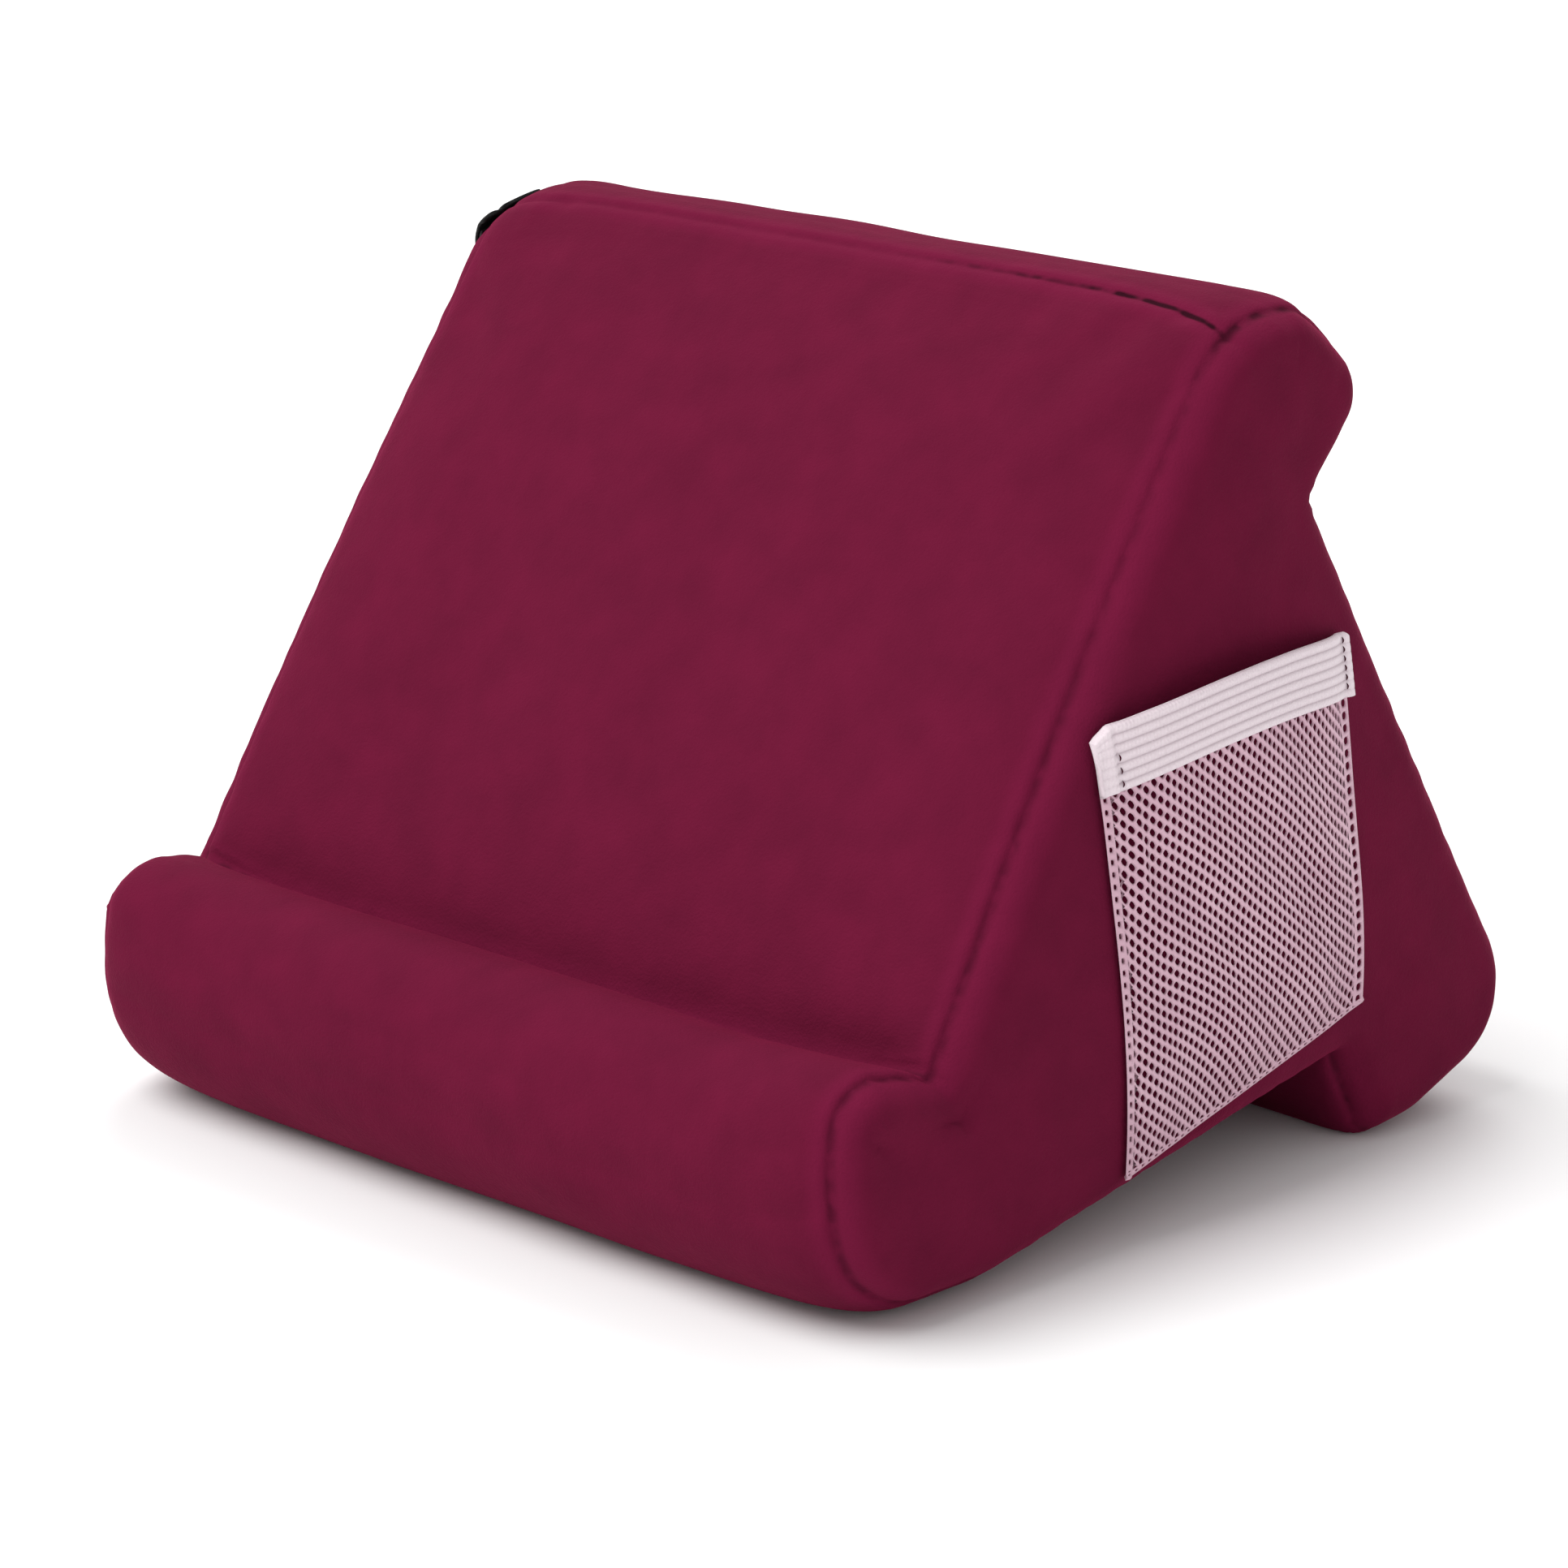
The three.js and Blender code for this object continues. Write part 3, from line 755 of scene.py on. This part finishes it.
def pocket_point(across, down, lift, arch=MOUTH_ARCH):
    """Points of the pocket: a share across, a distance down from the mouth, and a lift off its inner face.

    The inner face is the panel's own, the furthest out of six places near the point, plus a small
    clearance, plus a bulge that falls to nothing at the sides as a rounded hump and at the base as the
    square of the way down.
    """
    mouth, base, height = pocket_edges(across, arch)
    fall = down / height
    flat = mouth + (base - mouth) * fall[..., None]
    inner = ramp(across * NET_WIDE, FLAT_LEFT, NET_WIDE - FLAT_LEFT - FLAT_RIGHT)
    hump = (4 * inner * (1 - inner)) ** FULLNESS * np.clip(1 - fall ** 2, 0, 1)
    near = [
        panel_x(flat[..., 0] + dy, flat[..., 1] + dz) for dy in (-NEARBY, 0.0, NEARBY) for dz in (0, NEARBY)
    ]
    x = np.max(near, axis=0) + EDGE_CLEAR + BULGE * hump + lift
    return np.stack([x, flat[..., 0] + shift[1], flat[..., 1]], -1)


# ROW and COLUMN are the steps from one hole to the next, as distances across and down. Each hem has its
# width, its cells' pitch, and the width and height of their gaps.
NET_THICK = 0.9
ROW = np.array([1.87, 1.72])
COLUMN = np.array([0.26, -3.3])
HOLE_WIDE = 1.3
HOLE_HIGH = 2.45
HOLE_LEAN = 24
SHOULDER = 0.55
SHOULDER_THICK = 0.8
HEM_THICK = 1.1
HEM_EDGE = 0.5
EDGE_IN = 0.5
LEFT_HEM = (2.5, 3.3, 0.7, 1.4)
RIGHT_HEM = (4.2, 3.5, 1.7, 2.3)
BASE_HEM = (1.7, 2.6, 0.5, 0.9)
SIDE_HEM_LIFT = 0.25
BASE_HEM_LIFT = 0.3
SIDE_OVERLAP = 0.7
BASE_OVERLAP = 0.6
WANDER_FADE = 14
TUCK_HIGH = 1.1
SLACK_HIGH = 0.55
SLACK_FADE = 12
SLACK_BASE_FADE = 14
WELD = 0.00003
THINNEST = 0.00002


def cell_corners(p, q):
    """The corners of a lattice's cell: the circumcentres of the six triangles round one lattice point."""
    ring = [p, p + q, q, -p, -p - q, -q]
    found = []
    for i in range(6):
        pair = np.array([ring[i], ring[(i + 1) % 6]])
        found.append(np.linalg.solve(pair, (pair ** 2).sum(1) / 2))
    found = np.array(found)
    return found[np.argsort(np.arctan2(found[:, 1], found[:, 0]))]


def knit(centres, border, hole, thick):
    """A layer of net, as points (across, down, lift) and quads: round each centre a border ring, a shoulder
    and the rim of its hole, on both faces. The strand between holes is thick in the middle and thins to
    nothing at the rim, as half an ellipse."""
    shoulder = border + (hole - border) * SHOULDER
    levels = [
        (border, 1.0), (shoulder, SHOULDER_THICK), (hole, 0.0), (shoulder, -SHOULDER_THICK), (border, -1.0),
    ]
    starts = np.arange(len(centres)) * len(border) * len(levels)
    flat = np.stack([centres[:, None] + ring[None] for ring, _ in levels], 1)
    lift = np.broadcast_to(np.array([level for _, level in levels])[None, :, None], flat.shape[:3])
    lift = lift * thick / 2
    points = np.concatenate([flat, lift[..., None]], -1).reshape(-1, 3)
    return points, tube_quads(len(levels), len(border), starts)


def ring_points(corners):
    """Twice as many points round a polygon: its corners and the middles of its sides."""
    return np.stack([corners, (corners + np.roll(corners, -1, 0)) / 2], 1).reshape(-1, 2)


hexagon = cell_corners(ROW, COLUMN)
border = ring_points(hexagon)
lean = np.radians(HOLE_LEAN)
turned = np.array([[np.cos(lean), np.sin(lean)], [-np.sin(lean), np.cos(lean)]])
bearing = np.arctan2(border[:, 1], border[:, 0]) + lean
hole = 0.5 * np.stack([HOLE_WIDE * np.cos(bearing), HOLE_HIGH * np.sin(bearing)], -1) @ turned.T
i, j = np.meshgrid(np.arange(-10, 70), np.arange(-60, 60), indexing="ij")
centres = i.reshape(-1, 1) * ROW + j.reshape(-1, 1) * COLUMN + np.array([0, 20])
longest = float(pocket_edges(np.array([0.0]))[2][0])
top_of_net = BAND_HIGH - BAND_LAP
kept = (centres[:, 0] > LEFT_HEM[0]) & (centres[:, 0] < NET_WIDE - RIGHT_HEM[0])
kept &= (centres[:, 1] > top_of_net - MOUTH_ARCH) & (centres[:, 1] < longest + 8)
net_points, net_quads = knit(centres[kept], border, hole, NET_THICK)
across = net_points[:, 0]
down = net_points[:, 1]

# A knitted net is never quite straight: its rows and columns wander by up to a millimetre.
wander_across = 0.55 * np.sin(down / 13 + across / 40) + 0.35 * np.sin(down / 7 + 1.7)
wander_down = 0.8 * np.sin(across / 13 + down / 45) + 0.3 * np.sin(across / 6.5 + 0.6)
fade = ramp(np.minimum(across, NET_WIDE - across), 0, WANDER_FADE)
left_edge = EDGE_IN + LEFT_HEM[0] - SIDE_OVERLAP
right_edge = NET_WIDE - EDGE_IN - RIGHT_HEM[0] + SIDE_OVERLAP
across = np.clip(across + wander_across * fade, left_edge, right_edge)
height = pocket_edges(across / NET_WIDE, 0)[2]
top = top_of_net - MOUTH_ARCH * np.sin(np.pi * across / NET_WIDE)
down = np.clip(down + wander_down * fade, top, height - EDGE_IN - BASE_HEM[0] + BASE_OVERLAP)
lift = net_points[:, 2]


def hem(run, wide, pitch, gap_wide, gap_high):
    """A hem as a ladder of oblong cells, each with a rounded gap: points (across it, along it, lift) from
    its outer edge and its start, and quads. The lift falls to nothing at both edges of the hem, and the
    cells are stretched evenly to fill the run."""
    corners = np.array([[-wide, -pitch], [wide, -pitch], [wide, pitch], [-wide, pitch]]) / 2
    border = ring_points(corners)
    bearing = np.arctan2(border[:, 1] / pitch, border[:, 0] / wide)
    gap = 0.5 * np.stack([gap_wide * np.cos(bearing), gap_high * np.sin(bearing)], -1)
    count = int(round(run / pitch))
    along = (np.arange(count) + 0.5) * pitch
    ladder, quads = knit(np.stack([np.full(count, wide / 2), along], -1), border, gap, HEM_THICK)
    ladder[:, 1] *= run / (count * pitch)
    to_edge = np.minimum(ladder[:, 0], wide - ladder[:, 0])
    ladder[:, 2] *= np.clip(to_edge / HEM_EDGE, 0.1, 1)
    return ladder, quads


def tidy_mesh(mesh, weld):
    """Turns a mesh's faces outwards, after joining points that lie together if it is to be welded."""
    work = bmesh.new()
    work.from_mesh(mesh)
    if weld:
        bmesh.ops.remove_doubles(work, verts=work.verts, dist=WELD)
        bmesh.ops.dissolve_degenerate(work, edges=work.edges, dist=THINNEST)
    bmesh.ops.recalc_face_normals(work, faces=work.faces)
    work.to_mesh(mesh)
    work.free()


base_height = pocket_edges(np.array([0.0, 1.0]))[2]
parts = [(np.stack([across, down, lift], -1), net_quads)]
ladder, quads = hem(base_height[0] - EDGE_IN - top_of_net, *LEFT_HEM)
parts.append((ladder + [EDGE_IN, top_of_net, SIDE_HEM_LIFT], quads))
ladder, quads = hem(base_height[1] - EDGE_IN - top_of_net, *RIGHT_HEM)
parts.append((ladder * [-1, 1, 1] + [NET_WIDE - EDGE_IN, top_of_net, SIDE_HEM_LIFT], quads))
ladder, quads = hem(NET_WIDE - 2 * EDGE_IN, *BASE_HEM)
along = ladder[:, 1] + EDGE_IN
drop = pocket_edges(along / NET_WIDE, 0)[2] - EDGE_IN - ladder[:, 0]
parts.append((np.stack([along, drop, ladder[:, 2] + BASE_HEM_LIFT], -1), quads))
starts = np.cumsum([0] + [len(part) for part, _ in parts])
net_quads = np.concatenate([quads + start for (_, quads), start in zip(parts, starts)])
across, down, lift = np.concatenate([part for part, _ in parts]).T

# The net hangs slack between its hems, in shallow slanting ripples that die away towards its edges, and is
# pinched into one upright tuck beside its left hem.
tuck = TUCK_HIGH * bell(across - 0.03 * down, 8.5, 1.6) * bell(down, 36, 13)
to_base = pocket_edges(across / NET_WIDE, 0)[2] - down
slack = ramp(np.minimum(across - 6, NET_WIDE - 8 - across), 0, SLACK_FADE) * ramp(to_base, 0, SLACK_BASE_FADE)
ripple = SLACK_HIGH * slack * (1 + np.sin((across * 0.8 - down * 0.55) / 4.6 + np.sin(down / 17)))
net_3d = pocket_point(across / NET_WIDE, down, NET_THICK / 2 + lift + tuck + ripple, 0)
net = new_object("net_pocket", net_3d, net_quads.tolist())
tidy_mesh(net.data, True)
net.data.polygons.foreach_set("use_smooth", np.ones(len(net.data.polygons), bool))

# Polyester net yarn: many fine bright filaments, so the strands are soft, pale and slightly glossy. A
# filament is about 0.02 mm thick, too fine to show, so they are drawn as coarse as a strand's twist.
DYE_CLOUD = 16.7
NET_FILAMENT = 0.455
net_yarn, tree = bare_material("knitted_polyester_net")
where = add(tree, "ShaderNodeTexCoord").outputs["Object"]
uneven_dye = add(tree, "ShaderNodeTexNoise", {"Vector": where, "Scale": cells(DYE_CLOUD), "Detail": 3})
filament = add(tree, "ShaderNodeTexNoise", {"Vector": where, "Scale": cells(NET_FILAMENT), "Detail": 2})
shade = add(
    tree, "ShaderNodeMix",
    {0: uneven_dye.outputs["Fac"], 6: colour("C398AA"), 7: colour("DDB8C6")}, data_type="RGBA",
)
twist = add(tree, "ShaderNodeBump", {"Height": filament.outputs["Fac"], "Strength": 0.4, "Distance": 0.0002})
surface = add(
    tree, "ShaderNodeBsdfPrincipled",
    {
        "Base Color": shade.outputs[2], "Roughness": 0.6, "Specular IOR Level": 0.4,
        "Sheen Weight": 0.2, "Normal": twist.outputs[0],
    },
)
add(tree, "ShaderNodeOutputMaterial", {"Surface": surface.outputs[0]})
net.data.materials.append(net_yarn)
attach(net, "root")
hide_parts("pocket_net")


# The pocket's mouth. A length of woven elastic, ribbed lengthwise, its ends turned under and tacked with
# the plush's thread, is sewn over the net's top edge.
BAND_THICK = 1.3
RIBS = 7
RIB_HIGH = 0.32
FOLD_WIDE = 4.2


def band_surface(along_steps, up_steps):
    """The elastic's closed surface: a flat loop round its height, carried across the pocket.

    The front face rises over each rib as half a sine wave, and over the turned-under ends by the
    thickness of the fold, which ends in a soft step. The last array is how near a point is to the bottom
    of the groove between two ribs, from 0 to 1.
    """
    t = np.linspace(0, 1, up_steps + 1)
    front = np.stack([t * BAND_HIGH, np.ones_like(t)], -1)
    back = np.stack([t[::-4] * BAND_HIGH, np.zeros_like(t[::-4])], -1)
    loop = np.concatenate([front, back])
    s = np.linspace(0, 1, along_steps + 1)
    across, down = np.meshgrid(s, loop[:, 0], indexing="ij")
    side = np.broadcast_to(loop[:, 1], across.shape)
    reach = across * NET_WIDE
    left_fold = 0.5 * (1 - np.tanh((reach - FOLD_WIDE) / 0.35))
    right_fold = 0.5 * (1 - np.tanh((NET_WIDE - 2.4 - reach) / 0.35))
    crest = np.abs(np.sin(np.pi * RIBS * down / BAND_HIGH)) ** 0.6
    ribs = RIB_HIGH * crest
    fold = left_fold + right_fold
    lift = BAND_THICK + ribs * (1 - 0.6 * np.clip(fold, 0, 1)) + 0.75 * fold
    crease = 0.35 * np.exp(-(((reach - FOLD_WIDE - 0.7) / 0.5) ** 2))
    corner_cut = np.clip(1 - reach / FOLD_WIDE, 0, 1) * np.clip(1 - down / 6, 0, 1) * 3.2
    front_lift = lift - crease
    round_edge = np.clip(np.minimum(down, BAND_HIGH - down) / 0.6, 0, 1) ** 0.5
    front_lift = BAND_THICK * 0.45 + (front_lift - BAND_THICK * 0.45) * round_edge
    off = NET_THICK + 0.3 + np.where(side > 0.5, front_lift, 0.0)
    return across, down + corner_cut, off, (1 - crest) * (side > 0.5) * (1 - 0.7 * np.clip(fold, 0, 1))


across, down, off, between_ribs = band_surface(150, 84)
band_points = pocket_point(across, down, off)
lengths, loops = across.shape
band = new_object("elastic_mouth", band_points.reshape(-1, 3), tube_faces(lengths, loops))
tidy_mesh(band.data, False)
write_attribute(band.data, "between_ribs", between_ribs)

# Woven elastic: pale polyester yarn over rubber cores, with a weft every millimetre or so.
elastic, tree = bare_material("woven_elastic")
where = add(tree, "ShaderNodeTexCoord").outputs["Object"]
wefts = add(
    tree, "ShaderNodeTexWave",
    {"Vector": where, "Scale": 320, "Distortion": 1.5, "Detail": 1}, bands_direction="Y",
)
filament = add(tree, "ShaderNodeTexNoise", {"Vector": where, "Scale": 1800, "Detail": 2})
grain = add(
    tree, "ShaderNodeMath", {0: wefts.outputs["Fac"], 1: 0.6, 2: filament.outputs["Fac"]},
    operation="MULTIPLY_ADD",
)
shade = add(
    tree, "ShaderNodeMix",
    {0: filament.outputs["Fac"], 6: colour("DBC9D1"), 7: colour("EEE2E7")}, data_type="RGBA",
)
# painted shade: the elastic's colour is darkened in the grooves between its ribs
rib_groove_shade = add(tree, "ShaderNodeAttribute", attribute_name="between_ribs")
with_rib_groove_shade = add(
    tree, "ShaderNodeMix",
    {0: rib_groove_shade.outputs["Fac"], 6: shade.outputs[2], 7: colour("BFADB5")}, data_type="RGBA",
)
weave = add(tree, "ShaderNodeBump", {"Height": grain.outputs[0], "Strength": 0.5, "Distance": 0.0003})
surface = add(
    tree, "ShaderNodeBsdfPrincipled",
    {"Base Color": with_rib_groove_shade.outputs[2], "Roughness": 0.65, "Sheen Weight": 0.15, "Normal": weave.outputs[0]},
)
add(tree, "ShaderNodeOutputMaterial", {"Surface": surface.outputs[0]})
band.data.materials.append(elastic)
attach(band, "root")
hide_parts("pocket_band")

tacks = []
for reach, first, last, pitch, over in ((NET_WIDE - 2.9, 1.6, 16.4, 2.5, 0.25), (5.2, 8.5, 16.0, 3.4, 0.1)):
    down = np.arange(first, last, pitch)
    share = np.full(len(down), reach / NET_WIDE)
    lift = NET_THICK + 0.3 + BAND_THICK + RIB_HIGH + over
    spots = pocket_point(share, down, lift)
    heading = pocket_point(share, down + 0.5, lift) - pocket_point(share, down - 0.5, lift)
    tacks.append((spots, heading / np.linalg.norm(heading, axis=1, keepdims=True)))
spots, heading = (np.concatenate(part) for part in zip(*tacks))
tack_stitches = stitches("tack_stitches", spots, heading, np.tile([1.0, 0, 0], (len(spots), 1)), 1.8, 0.45)
tack_stitches.data.materials.append(sewing_thread)
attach(tack_stitches, "root")


# The hanging loop. A length of black polyester webbing, folded double, whose ends are caught in the left
# end seam where the top panel begins.
LOOP_WIDE = 22
LOOP_THICK = 1.2
LOOP_MIDDLE = 28.5
LOOP_SLANT = 0.35
LOOP_PATH = [
    (2.4, 0.9), (4.2, 0.2), (6.1, -1.6), (9, -6.3), (10.5, -13.2), (11.2, -20), (12.9, -28),
    (14.6, -38), (14.6, -46), (12.4, -50), (10, -46), (9.4, -35), (9.2, -23), (9.1, -13.5),
    (7.7, -7), (5, -2.7),
]


def through(knots, count):
    """count points at even steps along a smooth curve through knots: Catmull-Rom pieces, each a cubic in
    its own parameter, read at even lengths."""
    knots = np.array(knots, float)
    before = np.concatenate([2 * knots[:1] - knots[1:2], knots[:-1]])
    after = np.concatenate([knots[1:], 2 * knots[-1:] - knots[-2:-1]])
    slope = (after - before) / 2
    t = np.linspace(0, 1, 24, endpoint=False)[:, None]
    start, end, lead, trail = (v[:, None] for v in (knots[:-1], knots[1:], slope[:-1], slope[1:]))
    curve = (
        start * (2 * t ** 3 - 3 * t ** 2 + 1) + lead * (t ** 3 - 2 * t ** 2 + t)
        + end * (3 * t ** 2 - 2 * t ** 3) + trail * (t ** 3 - t ** 2)
    )
    curve = np.concatenate([curve.reshape(-1, 2), knots[-1:]])
    reach = np.concatenate([[0], np.cumsum(np.linalg.norm(np.diff(curve, axis=0), axis=1))])
    even = np.linspace(0, reach[-1], count)
    return np.stack([np.interp(even, reach, curve[:, i]) for i in (0, 1)], -1), reach[-1]


def seam_top(y):
    """The height of the end seam's top at y: the highest point of its outline there."""
    ring = outline(np.zeros(1), np.zeros(1), 1.0)[0][0]
    upper = ring[ring[:, 1] > 205]
    upper = upper[np.argsort(upper[:, 0])]
    return np.interp(y, upper[:, 0], upper[:, 1])


path, loop_length = through(LOOP_PATH, 150)
tangent = np.gradient(path, axis=0)
tangent /= np.linalg.norm(tangent, axis=1, keepdims=True)
side = np.stack([-tangent[:, 1], tangent[:, 0]], -1)
w = np.linspace(-1, 1, 41)
thickness = LOOP_THICK / 2 * (1 - 0.35 * np.abs(w) ** 12)
face_a = path[:, None] + side[:, None] * thickness[None, :, None]
face_b = path[:, None] - side[:, None] * thickness[None, ::-1, None]
section = np.concatenate([face_a, face_b], 1)
across_y = np.concatenate([w, w[::-1]]) * LOOP_WIDE / 2 + LOOP_MIDDLE
y = across_y[None] - LOOP_SLANT * section[..., 1]
z = section[..., 1] + seam_top(across_y)[None]
x = sloped(-(HALF_WIDTH + section[..., 0]), z)
z += left_corner(x, np.broadcast_to(across_y, z.shape), np.full(z.shape, float(HEIGHT)))
loop_points = np.stack([x, y, z], -1) + shift
lengths, loops = loop_points.shape[:2]
webbing_loop = new_object("webbing_loop", loop_points.reshape(-1, 3), tube_faces(lengths, loops))
tidy_mesh(webbing_loop.data, False)

# Black polyester webbing: its picks lie about 1.4 mm apart and its warp ends about 1 mm.
webbing, tree = bare_material("woven_polyester_webbing")
where = add(tree, "ShaderNodeTexCoord").outputs["Object"]
picks = add(
    tree, "ShaderNodeTexWave", {"Vector": where, "Scale": 220, "Distortion": 0.6}, bands_direction="Z",
)
ends_of_warp = add(
    tree, "ShaderNodeTexWave", {"Vector": where, "Scale": 300, "Distortion": 0.3}, bands_direction="Y",
)
grain = add(
    tree, "ShaderNodeMath", {0: picks.outputs["Fac"], 1: ends_of_warp.outputs["Fac"]}, operation="MULTIPLY",
)
shade = add(
    tree, "ShaderNodeMix", {0: grain.outputs[0], 6: colour("050405"), 7: colour("161316")}, data_type="RGBA",
)
weave = add(tree, "ShaderNodeBump", {"Height": grain.outputs[0], "Strength": 0.6, "Distance": 0.0003})
surface = add(
    tree, "ShaderNodeBsdfPrincipled",
    {
        "Base Color": shade.outputs[2], "Roughness": 0.7, "Specular IOR Level": 0.25,
        "Normal": weave.outputs[0],
    },
)
add(tree, "ShaderNodeOutputMaterial", {"Surface": surface.outputs[0]})
webbing_loop.data.materials.append(webbing)
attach(webbing_loop, "root")
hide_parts("hanging_loop")


# The studio: a white floor, a large soft light from the upper front left, a weaker one from above and
# behind, a little fill from the right, and a camera at the photograph's angle.
FLOOR_REACH = 4000.0
floor_corners = np.array([[-1, -1, 0], [1, -1, 0], [1, 1, 0], [-1, 1, 0]]) * FLOOR_REACH
floor = new_object("floor", floor_corners, [[0, 1, 2, 3]])
floor.location.z = -0.0002
paper = bpy.data.materials.new("white_paper_backdrop")
paper.use_nodes = True
paper.node_tree.nodes["Principled BSDF"].inputs["Base Color"].default_value = colour("F4F4F4")
paper.node_tree.nodes["Principled BSDF"].inputs["Roughness"].default_value = 0.9
floor.data.materials.append(paper)

world = bpy.data.worlds.new("studio_white")
bpy.context.scene.world = world
world.use_nodes = True
world.node_tree.nodes["Background"].inputs["Color"].default_value = (1, 1, 1, 1)
world.node_tree.nodes["Background"].inputs["Strength"].default_value = 0.62
bpy.context.scene.view_settings.view_transform = "Standard"


def distant_light(name, heading, angle, strength):
    """A sun that shines along a heading, as soft as a source that many degrees across."""
    lamp = bpy.data.lights.new(name, "SUN")
    lamp.angle = np.radians(angle)
    lamp.energy = strength
    lit = bpy.data.objects.new(name, lamp)
    bpy.context.scene.collection.objects.link(lit)
    lit.rotation_euler = Vector(heading).to_track_quat("-Z", "Y").to_euler()


distant_light("key", (0.45, 0.6, -1.15), 50, 2.3)
distant_light("fill", (-0.8, 0.1, -0.35), 60, 0.14)
distant_light("rim", (0.4, -0.7, -0.8), 40, 1.1)

CAMERA_AT = (1.0811, -1.0636, 0.5431)
CAMERA_AZIMUTH = 45.49
CAMERA_ELEVATION = 16.65
CAMERA_ROLL = -1.48
CAMERA_LENS = 132.2
azimuth, elevation, roll = np.radians([CAMERA_AZIMUTH, CAMERA_ELEVATION, CAMERA_ROLL])
level_look = np.array([-np.sin(azimuth), np.cos(azimuth), 0])
look = level_look * np.cos(elevation) - np.array([0, 0, np.sin(elevation)])
level = np.array([np.cos(azimuth), np.sin(azimuth), 0])
upright = np.cross(level, look)
right = level * np.cos(roll) + upright * np.sin(roll)
up = np.cross(right, look)
lens = bpy.data.cameras.new("camera")
lens.lens = CAMERA_LENS
lens.sensor_width = 36
camera = bpy.data.objects.new("camera", lens)
bpy.context.scene.collection.objects.link(camera)
turn = np.eye(4)
turn[:3, 0] = right
turn[:3, 1] = up
turn[:3, 2] = -look
turn[:3, 3] = CAMERA_AT
camera.matrix_world = Matrix(turn.tolist())
bpy.context.scene.camera = camera
